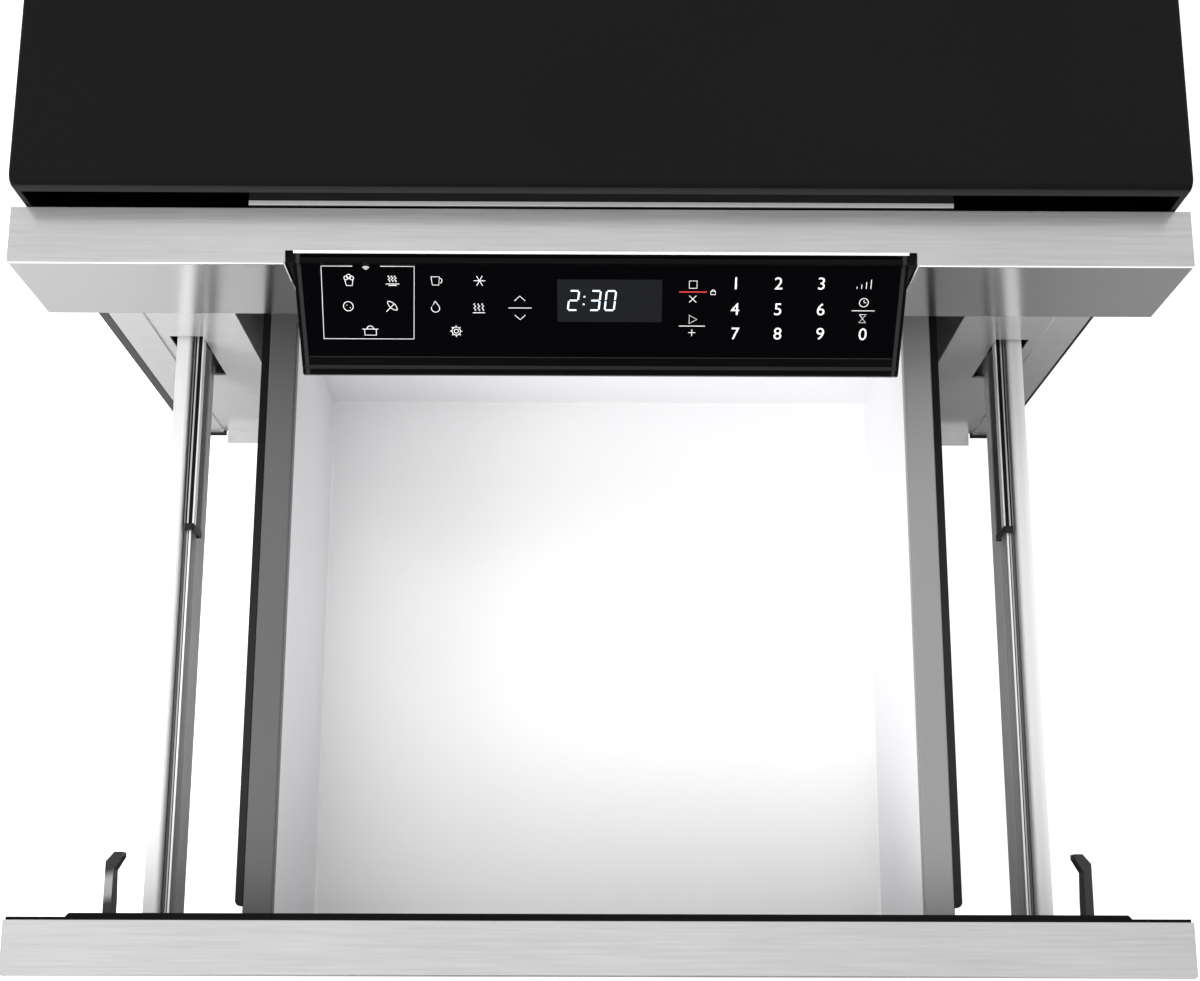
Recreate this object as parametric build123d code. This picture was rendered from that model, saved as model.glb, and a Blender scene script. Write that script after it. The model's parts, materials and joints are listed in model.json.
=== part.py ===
"""Built-in microwave drawer, modelled with the drawer run out.

Frame: X to the right, -Y out of the front, +Z up, millimetres.  Y = 0 is the front of the
face plate that closes the cabinet opening, Z = 0 is the underside of the base pan and X = 0
is the middle.  Everything on the drawer is placed where it stands when the drawer is open;
shutting it moves those pieces `travel` along +Y.
"""
from build123d import *
from math import acos, cos, hypot, pi, radians, sin, sqrt, tan
import os

os.makedirs("parts", exist_ok=True)

# ---- Stainless front -------------------------------------------------------------------
front_over = 7.5           # band and drawer front beyond the case, each side
band_top_z = 465.0         # top of the control band
band_h = 85.0              # control band, top to bottom
band_d = 40.0              # how far the shut front stands out of the face plate
skin_t = 1.2               # stainless sheet
skin_bend = 2.0            # outside radius of the folds
door_gap = 5.0             # between the band and the drawer front
door_bottom_z = 4.0        # foot of the drawer front
door_skin_d = 35.0         # depth of the folded drawer front
shut_gap = 0.5             # between the shut drawer and the face plate

# ---- Control console -------------------------------------------------------------------
console_w = 396.0          # sloping console, side to side
console_room = 4.3         # from its ends to the cut in the band
console_set = 1.8          # its shoulders, behind the faces of the band
console_back = 31.0        # its top edge, in front of the face plate
console_tilt = 43.0        # degrees below level
console_l = 85.0           # length of the slope
console_t = 2.5            # moulded wall
console_foot = 8.0         # height of the rounded nose below the slope
console_nose = 3.2         # radius of the nose's edges
console_root_z = 420.0     # bottom of the cut in the band
glass_l = 72.5             # control glass, down the slope
glass_t = 2.5              # its thickness
glass_margin = 1.6         # moulding left above the glass
glass_end = 5.0            # and beside it
display_w = 67.0           # clock window
display_l = 27.0
display_x = 4.0            # middle of the window, right of centre
display_s = 34.0           # middle of the window, down the slope
board_t = 1.6              # circuit board
board_depth = 8.5          # under the slope's face
board_top_s = 5.0          # edge of the board, down the slope
board_chips = ((-120, 30, 16), (-40, 42, 10), (70, 28, 22), (140, 40, 12))  # x, down the slope, width
fit_gap = 0.3              # between pieces that clip or drop together

# ---- Case, base and face plate -----------------------------------------------------------
case_over = 27.5           # painted case beyond the face plate, each side
case_top_z = 496.0
case_d = 600.0             # face plate to the back of the case
case_t = 1.2               # its sheet
case_lip = 12.0            # fold at the front of the top
case_nose = 8.0            # outside radius of that fold
case_side_bend = 3.0       # outside radius along the sides
case_louvre_y = 470.0      # middle of the air slots in the sides
case_louvre_z = 312.0      # lowest of them
case_hem = 5.0             # side sheets turned in at the front
case_foot_d = 4.0          # feet of the side sheets, in front of the face plate
case_foot_gap = 1.5        # between a foot and the tongue of the pan
base_t = 1.5               # base pan sheet
base_rim = 18.0            # upturned edge of the pan
base_hole_in = 42.5        # hold-down holes, inside the case's sides
base_hole_ys = (60.0, 540.0)
base_hole_r = 3.2
base_slot_ins = (92.5, 192.5)    # air slots under the fan, inside the left side
base_slot_w = 60.0
base_slot_l = 6.0
base_slot_ys = (440.0, 460.0, 480.0, 500.0, 520.0, 540.0)
lip_in = 6.5               # tongue of the pan, inside the face plate's edges
lip_d = 11.0
plate_over = 16.0          # face plate beyond the drawer rails, each side
plate_t = 1.5
plate_top_z = 462.0
plate_ledge = 45.0         # shelf folded back from its top
mouth_room = 35.5          # oven mouth beyond the tub, each side
mouth_bottom_z = 140.0
mouth_top_z = 362.0
mouth_corner = 6.0
flange_lap = 3.0           # cabinet flange laps the face plate
flange_return = 16.0       # its leg beside the face plate
flange_relief = 5.0        # bend relief hole at its foot
cabinet_screw_in = 16.5    # holes for the screws into the cabinet, inside the case's sides
cabinet_screw_low_z = 114.0
cabinet_screw_high_z = 324.0
cabinet_screw_r = 2.4
vent_panel_over = 29.0     # middle panel over the band, beyond the console each side
vent_panel_set = 9.0       # how far it stands behind the lip
vent_panel_ledge = 22.0    # its foot, behind the upright
vent_panel_return = 60.0   # its side returns

# ---- Oven cavity -----------------------------------------------------------------------
cavity_d = 478.0
cavity_t = 0.8
cavity_corner = 8.0        # uprights at the back
stirrer_y = 240.0          # middle of the stirrer well
well_r = 96.0
well_h = 22.0
cover_r = 104.0            # stirrer cover
cover_t = 2.5
guide_w = 96.0             # waveguide, outside
guide_h = 36.0
guide_front_y = 276.0
guide_back_y = 566.0
feed_w = 70.0              # slot from the guide into the well
feed_l = 34.0
shaft_r = 3.0              # stirrer and fan shafts
shaft_run = 0.06           # radial running clearance of every shaft
stirrer_motor_r = 26.0
stirrer_motor_h = 20.0
stirrer_span_r = 82.0
stirrer_t = 1.5
lamp_y = 73.5              # lamp and the holes in front of it
lamp_z = 326.0
lamp_hole_r = 2.0          # six-sided, to the flats
lamp_hole_pitch = 9.0

# ---- Drawer ----------------------------------------------------------------------------
travel = 444.0             # open to shut
tub_in_w = 437.0           # drawer interior, side to side
tub_wall = 20.0            # folded side walls
tub_back = 18.0            # folded back wall
tub_in_d = 421.0           # drawer interior, front to back
tub_top_z = 324.0
tub_floor_z = 146.0
tub_sheet = 1.2
tub_corner = 6.0           # outside corners at the back
rim_h = 8.0                # cap on the walls
seal_w = 5.0               # dark strip outside the cap
seal_h = 6.0
seal_back = 6.0            # strip starts this far behind the cover
tray_t = 4.0               # glass ceramic floor
tray_gap = 1.0
tray_corner = 10.0
frame_t = 1.2              # steel frame in the drawer front
frame_rib_x = 40.0         # its stiffeners, from its ends and edges
frame_rib_z = 70.0
trim_t = 2.0               # dark back trim of the drawer front
trim_inset = 1.0
choke_t = 2.5              # moulded choke cover
choke_in = 4.0             # its ends, inside the face plate's edges
choke_chamfer = 2.2        # at its ends
choke_edge = 0.4           # thickness left there
choke_bottom_z = 118.0
choke_inset = 2.0          # below the top of the drawer front
cover_screw_in = 28.0      # screws of the cover, inside the rails
cover_screw_zs = (152.0, 302.0)
corner_screw_out = 23.5    # upper pair, outside the tub
corner_screw_z = 357.0

# ---- Runners ---------------------------------------------------------------------------
rail_room = 44.0           # between the oven mouth and the inner face of a drawer rail
rail_w = 11.0
rail_t = 2.0
rail_bottom_z = 168.0
rail_top_z = 232.5
rail_skirt_z = 153.0       # foot of the skirt that hides the rack
rail_tail = 52.0           # rail left behind the face plate when open
rail_screw_set = 6.5       # screws in the rail's foot, from its inner face
rail_screw_rise = 16.0     # and from its top and bottom
rail_bend = 2.5            # outside radius along its top
slide_z = 215.0            # middle height of the slides
member_l = 470.0           # drawer member
middle_l = 400.0
outer_l = 480.0
member_h = 18.0            # heights of the three members
middle_h = 27.0
outer_h = 36.0
member_t = 1.2
member_bend = 1.1          # outside radius of their folds
member_d = 6.0             # depth of the drawer member
middle_front = 153.0       # how far the middle member stands out when open
race_gap = 0.3             # sheet to balls
cage_l = 150.0
cage_t = 0.6
balls_per_race = 2
outer_front_y = 5.0        # start of the cabinet member
hole_in = 9.4              # runner hole in the face plate, inside the rail
hole_out = 5.5             # and outside it
hole_bottom_z = 149.0
hole_top_z = 236.0
bracket_t = 2.0            # plate that carries the cabinet member
bracket_foot = 22.0
bracket_over = 4.0         # plate above the cabinet member
bracket_hole_ys = (150.0, 260.0, 370.0)
bracket_hole_l = 70.0
bracket_hole_low = 45.0
bracket_hole_high = 150.0
bracket_hole_corner = 10.0

# ---- Rack drive ------------------------------------------------------------------------
rack_module = 2.5
rack_w = 8.0
rack_set = 2.5             # rack from the rail's inner face
rack_back = 7.0            # solid bar above the teeth
rack_start = 20.0          # first tooth, behind the choke cover
pinion_teeth = 20
pinion_w = 7.4
pinion_y = 32.0
pressure = radians(20)
backlash = 0.35
addendum = 0.92            # in modules
dedendum = 1.25
axle_r = 5.0
bush_wall = 3.0
bush_w = 5.0
reduction_module = 1.5
reduction_teeth = 32
motor_teeth = 16
reduction_w = 8.0
reduction_in = 23.5        # middle of the gear pair, inside the rail
motor_r = 24.0
motor_l = 62.0
motor_z = 105.0
motor_axle_r = 4.0
motor_plate_t = 2.5

# ---- Latches ---------------------------------------------------------------------------
hook_in = 16.2             # middle of each latch hook, inside the face plate's edge
hook_w = 5.5
hook_l = 42.0
hook_h = 14.0
hook_tip_h = 10.0
hook_top_z = 324.0
hook_bend = 5.5            # tip leans in by this much
hook_bend_l = 12.0         # over this length
latch_slot_w = 24.0
latch_slot_h = 26.0
latch_box_l = 62.0
lever_room = 8.0           # under the slot
latch_wall = 2.0
lever_l = 34.0
lever_t = 4.0
pin_r = 2.0

# ---- Inner works -----------------------------------------------------------------------
magnetron_w = 92.0
magnetron_d = 84.0
magnetron_h = 82.0
fin_count = 8
transformer_in = 117.5     # middle of the transformer, inside the case's side
transformer_y = 540.0
core_w = 96.0
core_d = 78.0
core_h = 82.0
coil_wall = 17.0
capacitor_x = 120.0
capacitor_y = 545.0
capacitor_l = 92.0
capacitor_d = 40.0
capacitor_h = 54.0
capacitor_bend = 14.0
strap_t = 1.5
fan_frame = 150.0
fan_frame_d = 26.0
fan_hole_r = 68.0
fan_tip_r = 64.0
fan_blades = 5
fan_in = 122.5             # fan's axis, inside the left side
fan_z = 252.0
grille_r = 64.0            # round patch of slots behind the fan
grille_slot = 5.5
grille_pitch = 11.0
grille_rows = 11
rear_louvre_xs = (-40.0, 60.0)
rear_louvre_z = 182.0
rear_screw_in = 17.5
rear_screw_zs = (40.0, 250.0, 462.0)
inlet_in = 72.5            # cable entry, inside the right side
inlet_z = 392.0
inlet_w = 52.0
inlet_h = 34.0
inlet_collar_r = 13.0
inlet_collar_l = 9.0
inlet_bore_r = 5.0
louvre_w = 70.0
louvre_h = 5.0
louvre_pitch = 14.0
louvre_rows = 8
screw_r = 3.8              # heads
screw_head = 2.2
sunk_head = 1.6            # heads let into the choke cover
shank_r = 1.9

# ---- Worked out ------------------------------------------------------------------------
tub_half = tub_in_w / 2
tub_out = tub_half + tub_wall
mouth_half = tub_out + mouth_room
rail_x = mouth_half + rail_room                  # inner face of the drawer rail
plate_half = rail_x + rail_w + plate_over
case_half = plate_half + case_over
case_in = case_half - case_t
front_half = case_half + front_over
lip_half = plate_half - lip_in
flange_in = plate_half - flange_lap
choke_half = plate_half - choke_in
hook_x = plate_half - hook_in                    # middle of each latch hook
cabinet_screw_x = case_half - cabinet_screw_in
base_hole_x = case_half - base_hole_in
rear_screw_x = case_half - rear_screw_in
rail_screw_x = rail_x + rail_screw_set
hole_in_x = rail_x - hole_in
hole_out_x = rail_x + rail_w + hole_out
reduction_x = rail_x - reduction_in
transformer_x = case_half - transformer_in
inlet_x = case_half - inlet_in
fan_x = fan_in - case_half
band_bottom_z = band_top_z - band_h
door_top_z = band_bottom_z - door_gap
front_y = -travel - band_d                       # drawer front when open
skin_back_y = front_y + door_skin_d
trim_back_y = skin_back_y + trim_t
door_back_y = -travel - shut_gap                 # back of the choke cover
tub_back_y = door_back_y + tub_in_d
tub_end_y = tub_back_y + tub_back
pitch_r = rack_module * pinion_teeth / 2
rack_z = rail_bottom_z - rack_back - addendum * rack_module   # pitch line of the rack
axle_z = rack_z - pitch_r
slope = radians(console_tilt)
nose_z = band_top_z - console_l * sin(slope)
well_top_z = mouth_top_z + cavity_t + well_h
guide_z = well_top_z
hook_z = hook_top_z - hook_h / 2                 # middle height of the latches
middle_x = rail_x - member_t - member_d - 2 * race_gap - 1.0  # inner face of the middle web


def box(x0, x1, y0, y1, z0, z1):
    """Solid between two corners."""
    size = Box(abs(x1 - x0), abs(y1 - y0), abs(z1 - z0))
    return Pos((x0 + x1) / 2, (y0 + y1) / 2, (z0 + z1) / 2) * size


def rod(radius, start, end):
    """Round bar between two points."""
    start, end = Vector(*start), Vector(*end)
    disc = Plane(origin=start, z_dir=end - start) * Circle(radius)
    return extrude(disc, amount=(end - start).length)


def prism(points, plane, length):
    """Closed outline of (u, v) points in a plane, pulled out square to it."""
    outline = make_face(Polyline(*points, close=True).edges())
    return extrude(plane * outline, amount=length, dir=plane.z_dir)


def across(points, x0, x1):
    """Outline of (y, z) points pulled from x0 to x1."""
    return prism(points, Plane.YZ.offset(x0), x1 - x0)


def both(shape):
    """The shape and its mirror image across the middle."""
    return [shape, mirror(shape, about=Plane.YZ)]


def sided(name, shape):
    """Right and left copies of a piece that is drawn on the right."""
    right, left = both(shape)
    return {name + "_right": right, name + "_left": left}


def edges_along(shape, axis):
    return shape.edges().filter_by(axis)


def group(*shapes):
    """Separate solids that share one file."""
    return Compound(children=[solid for shape in shapes for solid in shape.solids()])


def screw(x, y, z, direction, length, head):
    """Pan-head screw seated at a point, its shank running along `direction`."""
    seat, way = Vector(x, y, z), Vector(*direction)
    return rod(shank_r, seat, seat + way * length) + rod(screw_r, seat - way * head, seat)


def screw_hole(x, z, y0, y1):
    """Clearance hole for a shank along Y."""
    return rod(shank_r + 0.2, (x, y0, z), (x, y1, z))


# ---- Stainless front -------------------------------------------------------------------
def folded_front(y0, y1, z0, z1):
    """Sheet front with folded edges, open at the back."""
    outer = box(-front_half, front_half, y0, y1, z0, z1)
    front_edges = outer.edges().group_by(Axis.Y)[0]
    outer = fillet(front_edges, skin_bend)
    half = front_half - skin_t
    return outer - box(-half, half, y0 + skin_t, y1, z0 + skin_t, z1 - skin_t)


def on_slope(s, depth=0.0):
    """(y, z) of a point `s` down the console's slope and `depth` under its face."""
    y = -console_back - s * cos(slope) + depth * sin(slope)
    z = band_top_z - s * sin(slope) - depth * cos(slope)
    return y, z


def slab_on_slope(top, low, near, far):
    """Outline between two places down the slope and two depths under its face."""
    return [on_slope(top, near), on_slope(low, near), on_slope(low, far), on_slope(top, far)]


def control_housing():
    band = folded_front(-band_d, -plate_t, band_bottom_z, band_top_z)
    half = console_w / 2 + console_room
    root = console_root_z - fit_gap
    return band - box(-half, half, -band_d - 1, -console_back + fit_gap, root, band_top_z + 1)


def console_outline(inset, back):
    """Side view of the console, drawn in by `inset` and ending at y = `back`."""
    start = (-console_back - back + inset * sin(slope)) / cos(slope)
    low_y, low_z = on_slope(console_l - inset, inset)
    return [
        on_slope(start, inset),
        (low_y, low_z),
        (low_y + 1.5 + inset / 2, nose_z - console_foot + inset),
        (-band_d - 2, console_root_z + inset),
        (back, console_root_z + inset),
    ]


def control_bezel():
    half = console_w / 2
    body = across(console_outline(0, -console_back), -half, half)
    nose = body.edges().filter_by(Axis.X).sort_by(Axis.Y)[0:2]
    body = fillet(nose, console_nose)
    end, front, top = half + console_room - fit_gap, console_set - band_d, band_top_z - console_set
    body += box(-end, end, front, -console_back, console_root_z, top)
    body -= across(console_outline(console_t, -console_back + 1), -half + console_t, half - console_t)
    seat = slab_on_slope(glass_margin, glass_l, -1, glass_t)
    body -= across(seat, -half + glass_end, half - glass_end)
    window = slab_on_slope(display_s - display_l / 2, display_s + display_l / 2, -1, board_depth)
    return body - across(window, display_x - display_w / 2, display_x + display_w / 2)


def control_glass():
    half = console_w / 2 - glass_end - fit_gap
    return across(slab_on_slope(glass_margin + fit_gap, glass_l - fit_gap, 0, glass_t), -half, half)


def display_module():
    half = display_w / 2 - fit_gap
    top, low = display_s - display_l / 2 + fit_gap, display_s + display_l / 2 - fit_gap
    deep = board_depth - fit_gap
    return across(slab_on_slope(top, low, glass_t, deep), display_x - half, display_x + half)


def control_board():
    """Keypad board clipped under the console's slope."""
    half = console_w / 2 - console_t - fit_gap
    under = board_depth + board_t
    board = across(slab_on_slope(board_top_s, glass_l - board_top_s, board_depth, under), -half, half)
    for x, s, width in board_chips:
        board += across(slab_on_slope(s - 6, s + 6, under, under + 3), x - width / 2, x + width / 2)
    return board


# ---- Case, base and face plate -----------------------------------------------------------
def base_pan():
    pan = box(-case_in, case_in, case_t, case_d - case_t, 0, base_t)
    pan += box(-lip_half, lip_half, -lip_d, case_t, 0, base_t)
    for side in (-1, 1):
        edge = side * case_in
        pan += box(edge, edge - side * base_t, plate_t, case_d - case_t, base_t, base_rim)
    pan += box(-case_in, case_in, case_d - case_t - base_t, case_d - case_t, base_t, base_rim)
    for inside in base_slot_ins:
        for y in base_slot_ys:
            pan -= Pos(inside - case_half, y, base_t / 2) * Box(base_slot_w, base_slot_l, base_t * 2)
    for side in (-1, 1):
        for y in base_hole_ys:
            pan -= Pos(side * base_hole_x, y, base_t / 2) * Cylinder(base_hole_r, base_t * 2)
    return pan


def runner_hole(side):
    return box(side * hole_in_x, side * hole_out_x, -5, 5, hole_bottom_z, hole_top_z)


def face_plate():
    plate = box(-plate_half, plate_half, 0, plate_t, base_t, plate_top_z)
    plate += box(-plate_half, plate_half, plate_t, plate_ledge, plate_top_z - plate_t, plate_top_z)
    mouth = box(-mouth_half, mouth_half, -5, 5, mouth_bottom_z, mouth_top_z)
    plate -= fillet(edges_along(mouth, Axis.Y), mouth_corner)
    for side in (-1, 1):
        plate -= runner_hole(side)
        plate -= Pos(side * hook_x, 0, hook_z) * Box(latch_slot_w, 10, latch_slot_h)
    return plate


def side_flange():
    """Right-hand cabinet flange, in front of the plate's edge."""
    outer = case_half - case_hem
    flange = box(flange_in, outer, -plate_t, 0, base_t, plate_top_z)
    flange += box(plate_half, plate_half + plate_t, 0, flange_return, base_t, plate_top_z)
    relief_x, relief_z = flange_in + 2, base_t + flange_relief
    flange -= rod(cabinet_screw_r, (relief_x, -5, relief_z), (relief_x, 0, relief_z))
    for z in (cabinet_screw_low_z, cabinet_screw_high_z):
        flange -= rod(cabinet_screw_r, (cabinet_screw_x, -5, z), (cabinet_screw_x, 5, z))
    return flange


def front_top_edge(shape):
    return edges_along(shape, Axis.X).group_by(Axis.Z)[-1].sort_by(Axis.Y)[0]


def outer_case():
    block = box(-case_half, case_half, 0, case_d, 0, case_top_z)
    block = fillet(front_top_edge(block), case_nose)
    block = fillet(edges_along(block, Axis.Y).group_by(Axis.Z)[-1], case_side_bend)
    hollow = box(-case_in, case_in, case_t, case_d + 1, -1, case_top_z - case_t)
    shell = block - fillet(front_top_edge(hollow), case_nose - case_t)
    window = case_half - case_hem
    shell -= box(-window, window, -1, case_t + 1, -1, case_top_z - case_lip)
    for side in (-1, 1):
        for i in range(louvre_rows):
            z = case_louvre_z + i * louvre_pitch
            shell -= Pos(side * case_half, case_louvre_y, z) * Box(case_t * 4, louvre_w, louvre_h)
        shell += box(side * (lip_half + case_foot_gap), side * case_half, -case_foot_d, case_t, 0, base_t)
    return shell


def front_vent_panel():
    """Dark upright over the band with a bright foot, between the two air slots."""
    half = console_w / 2 + vent_panel_over
    top = case_top_z - case_t
    foot_z = band_top_z + fit_gap
    panel = box(-half, half, vent_panel_set, vent_panel_set + case_t, foot_z, top)
    panel += box(-half, half, -0.5, vent_panel_set, foot_z, foot_z + case_t)
    start = vent_panel_set + case_t
    panel += box(-half, half, start, vent_panel_set + vent_panel_ledge, foot_z, foot_z + case_t)
    for side in (-1, 1):
        end = side * half
        panel += box(end, end - side * case_t, start, vent_panel_set + vent_panel_return, foot_z + case_t, top)
    return panel


def rear_cover():
    back = case_d - case_t
    cover = box(-case_in, case_in, back, case_d, base_t, case_top_z - case_t)
    for x in rear_louvre_xs:
        for i in range(louvre_rows):
            cover -= Pos(x, back, rear_louvre_z + i * louvre_pitch) * Box(louvre_w, case_t * 4, louvre_h)
    for i in range(grille_rows):
        rise = (i - (grille_rows - 1) / 2) * grille_pitch
        slot = Box(2 * sqrt(grille_r ** 2 - rise ** 2), case_t * 4, grille_slot)
        cover -= Pos(fan_x, back, fan_z + rise) * slot
    cover -= Pos(inlet_x, back, inlet_z) * Box(inlet_w, case_t * 4, inlet_h)
    for x, z in rear_screws():
        cover -= screw_hole(x, z, back - 2, case_d + 2)
    return cover


def rear_screws():
    return [(side * rear_screw_x, z) for side in (-1, 1) for z in rear_screw_zs]


# ---- Oven cavity -----------------------------------------------------------------------
def oven_cavity():
    half = mouth_half + cavity_t
    back = plate_t + cavity_d
    outer = box(-half, half, plate_t, back + cavity_t, mouth_bottom_z - cavity_t, mouth_top_z + cavity_t)
    inner = box(-mouth_half, mouth_half, 0, back, mouth_bottom_z, mouth_top_z)
    upright = inner.edges().filter_by(Axis.Z).group_by(Axis.Y)[-1]
    outer = fillet(outer.edges().filter_by(Axis.Z).group_by(Axis.Y)[-1], cavity_corner + cavity_t)
    oven = outer - fillet(upright, cavity_corner)
    top = mouth_top_z + cavity_t
    oven += Pos(0, stirrer_y, top + well_h / 2) * Cylinder(well_r + cavity_t, well_h)
    oven -= Pos(0, stirrer_y, top + (well_h - cavity_t) / 2 - 1) * Cylinder(well_r, well_h - cavity_t + 2)
    oven -= Pos(0, stirrer_y, well_top_z) * Cylinder(shaft_r + 3, 8)
    oven -= Pos(0, guide_front_y + 8 + feed_l / 2, well_top_z) * Box(feed_w, feed_l, 8)
    punch = extrude(Plane.YZ * RegularPolygon(lamp_hole_r, 6, major_radius=False), 4, both=True)
    for row in (-1, 0, 1):
        for column in (-1.5, -0.5, 0.5, 1.5):
            y, z = lamp_y + column * lamp_hole_pitch, lamp_z + row * lamp_hole_pitch
            oven -= Pos(mouth_half, y, z) * punch
    return oven


def stirrer_cover():
    cover = Pos(0, stirrer_y, mouth_top_z - cover_t / 2) * Cylinder(cover_r, cover_t)
    return chamfer(cover.edges().group_by(Axis.Z)[0], 1)


def stirrer_motor():
    low = well_top_z
    motor = Pos(0, stirrer_y, low + stirrer_motor_h / 2) * Cylinder(stirrer_motor_r, stirrer_motor_h)
    motor += box(-38, 38, stirrer_y - 7, stirrer_y + 7, low, low + 2)
    return motor - Pos(0, stirrer_y, low + 5) * Cylinder(shaft_r + shaft_run, 14)


def stirrer_fan():
    low = mouth_top_z + 3
    blade = box(10, stirrer_span_r, -16, 16, low, low + stirrer_t)
    blade = fillet(edges_along(blade, Axis.Z), 6)
    fan = Cylinder(15, stirrer_t)
    fan = Pos(0, 0, low + stirrer_t / 2) * fan + Pos(0, 0, low + 5) * Cylinder(7, 10)
    for i in range(4):
        fan += Rot(0, 0, 90 * i) * blade
    fan += Pos(0, 0, (low + well_top_z + 8) / 2) * Cylinder(shaft_r, well_top_z + 8 - low)
    return Pos(0, stirrer_y, 0) * fan


def waveguide():
    half = guide_w / 2
    outer = box(-half, half, guide_front_y, guide_back_y, guide_z, guide_z + guide_h)
    guide = outer - box(
        -half + cavity_t, half - cavity_t, guide_front_y + cavity_t, guide_back_y - cavity_t,
        guide_z + cavity_t, guide_z + guide_h - cavity_t,
    )
    guide -= Pos(0, guide_front_y + 8 + feed_l / 2, guide_z) * Box(feed_w, feed_l, 8)
    return guide - Pos(0, magnetron_y(), guide_z) * Cylinder(14, 8)


def magnetron_y():
    return guide_back_y - magnetron_d / 2 + 4


def magnetron():
    y, top = magnetron_y(), guide_z
    half_w, half_d = magnetron_w / 2, magnetron_d / 2
    bottom = top - magnetron_h
    body = box(-half_w, half_w, y - half_d, y + half_d, top - 3, top)
    body += box(-half_w, half_w, y - half_d, y + half_d, bottom, bottom + 3)
    for side in (-1, 1):
        body += box(side * half_w, side * (half_w - 2.5), y - half_d, y + half_d, bottom, top)
    body += Pos(0, y, (top + bottom) / 2) * Cylinder(21, magnetron_h - 4)
    step = (magnetron_h - 20) / (fin_count - 1)
    for i in range(fin_count):
        z = bottom + 10 + i * step
        body += box(-half_w + 1, half_w - 1, y - half_d + 6, y + half_d - 6, z - 0.5, z + 0.5)
    body += Pos(0, y, top + 10) * Cylinder(8, 22)
    body += box(-28, 28, y - 30, y + 30, bottom - 26, bottom)
    return body


def transformer_core():
    x, y = transformer_x, transformer_y
    core = box(x - core_w / 2, x + core_w / 2, y - core_d / 2, y + core_d / 2, base_t, base_t + core_h)
    window_h = core_h - 2 * coil_wall
    for side in (-1, 1):
        cx = x + side * core_w / 4
        core -= box(cx - coil_wall / 2, cx + coil_wall / 2, y - core_d, y + core_d,
                    base_t + coil_wall, base_t + coil_wall + window_h)
    return core


def transformer_coil():
    """Wound coil round the core's middle leg, bulging out of both sides of the windows."""
    x, y = transformer_x, transformer_y
    leg = core_w / 4 - coil_wall / 2
    low, high = base_t + coil_wall + fit_gap, base_t + core_h - coil_wall - fit_gap
    half = leg + coil_wall - fit_gap
    reach = core_d / 2 + coil_wall
    coil = box(x - half, x + half, y - reach, y + reach, low, high)
    coil = fillet(edges_along(coil, Axis.Z), 9)
    return coil - Pos(x, y, low) * Box(2 * (leg + fit_gap), core_d + 2 * fit_gap, 2 * core_h)


def capacitor():
    """Flat-sided can on its side, held by a strap, with two terminals at its right end."""
    x, y, end = capacitor_x, capacitor_y, capacitor_x + capacitor_l / 2
    top = base_t + capacitor_h
    half, bend = capacitor_d / 2, capacitor_bend
    can = box(x - capacitor_l / 2, end, y - half, y + half, base_t, top)
    can = fillet(edges_along(can, Axis.X), bend)
    strap = box(x - 7, x + 7, y - half - strap_t, y + half + strap_t, base_t, top + strap_t)
    can += fillet(edges_along(strap, Axis.X).group_by(Axis.Z)[-1], bend + strap_t)
    can += box(x - 7, x + 7, y - half - 14, y + half + 14, base_t, base_t + strap_t)
    for side in (-1, 1):
        can += Pos(end + 5, y + side * 9, (base_t + top) / 2) * Box(12, 6, 0.8)
    return can


def fan_housing():
    back = case_d - case_t
    half = fan_frame / 2
    frame = box(fan_x - half, fan_x + half, back - fan_frame_d, back, fan_z - half, fan_z + half)
    frame = fillet(edges_along(frame, Axis.Y), 8)
    frame -= rod(fan_hole_r, (fan_x, back - 60, fan_z), (fan_x, back + 10, fan_z))
    front = back - fan_frame_d
    for angle in (45, 135):
        arm = Rot(0, angle, 0) * Box(2 * half + 26, 4, 12)
        frame += Pos(fan_x, front - 2, fan_z) * arm
    return frame - fan_bore()


def fan_bore():
    front = case_d - case_t - fan_frame_d
    return rod(shaft_r + shaft_run, (fan_x, front - 20, fan_z), (fan_x, front + 1, fan_z))


def fan_motor():
    front = case_d - case_t - fan_frame_d - 4
    motor = rod(30, (fan_x, front - 30, fan_z), (fan_x, front, fan_z))
    motor = chamfer(motor.edges().group_by(Axis.Y)[0], 3)
    return motor - fan_bore()


def fan_blade():
    """Axial fan on its own shaft, which runs in a bore of the housing's crossed arms."""
    back = case_d - case_t
    start, end = back - fan_frame_d + 3, back - 5
    fan = rod(18, (fan_x, start, fan_z), (fan_x, end, fan_z))
    fan = chamfer(fan.edges().group_by(Axis.Y)[-1], 2)
    mid = (start + end) / 2
    for i in range(fan_blades):
        blade = Pos(0, 0, 16 + (fan_tip_r - 16) / 2) * Rot(0, 0, 32) * Box(30, 1.6, fan_tip_r - 16)
        fan += Pos(fan_x, mid, fan_z) * Rot(0, 360 / fan_blades * i, 0) * blade
    return fan + rod(shaft_r, (fan_x, back - fan_frame_d - 14, fan_z), (fan_x, start, fan_z))


def power_inlet():
    """Cable entry gland in the rear cover; its cord isn't shown and isn't made."""
    back = case_d
    gland = Pos(inlet_x, back - 6, inlet_z) * Box(inlet_w - 2 * fit_gap, 12, inlet_h - 2 * fit_gap)
    plate = Pos(inlet_x, back + 1, inlet_z) * Box(inlet_w + 12, 2, inlet_h + 10)
    gland += fillet(edges_along(plate, Axis.Y), 4)
    gland += rod(inlet_collar_r, (inlet_x, back + 2, inlet_z), (inlet_x, back + inlet_collar_l, inlet_z))
    return gland - rod(inlet_bore_r, (inlet_x, back - 20, inlet_z), (inlet_x, back + 20, inlet_z))


def oven_lamp():
    y, z = lamp_y, lamp_z
    side = mouth_half + cavity_t
    lamp = rod(15, (side, y, z), (side + 3, y, z))
    lamp += rod(10, (side + 3, y, z), (side + 16, y, z))
    return lamp


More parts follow.
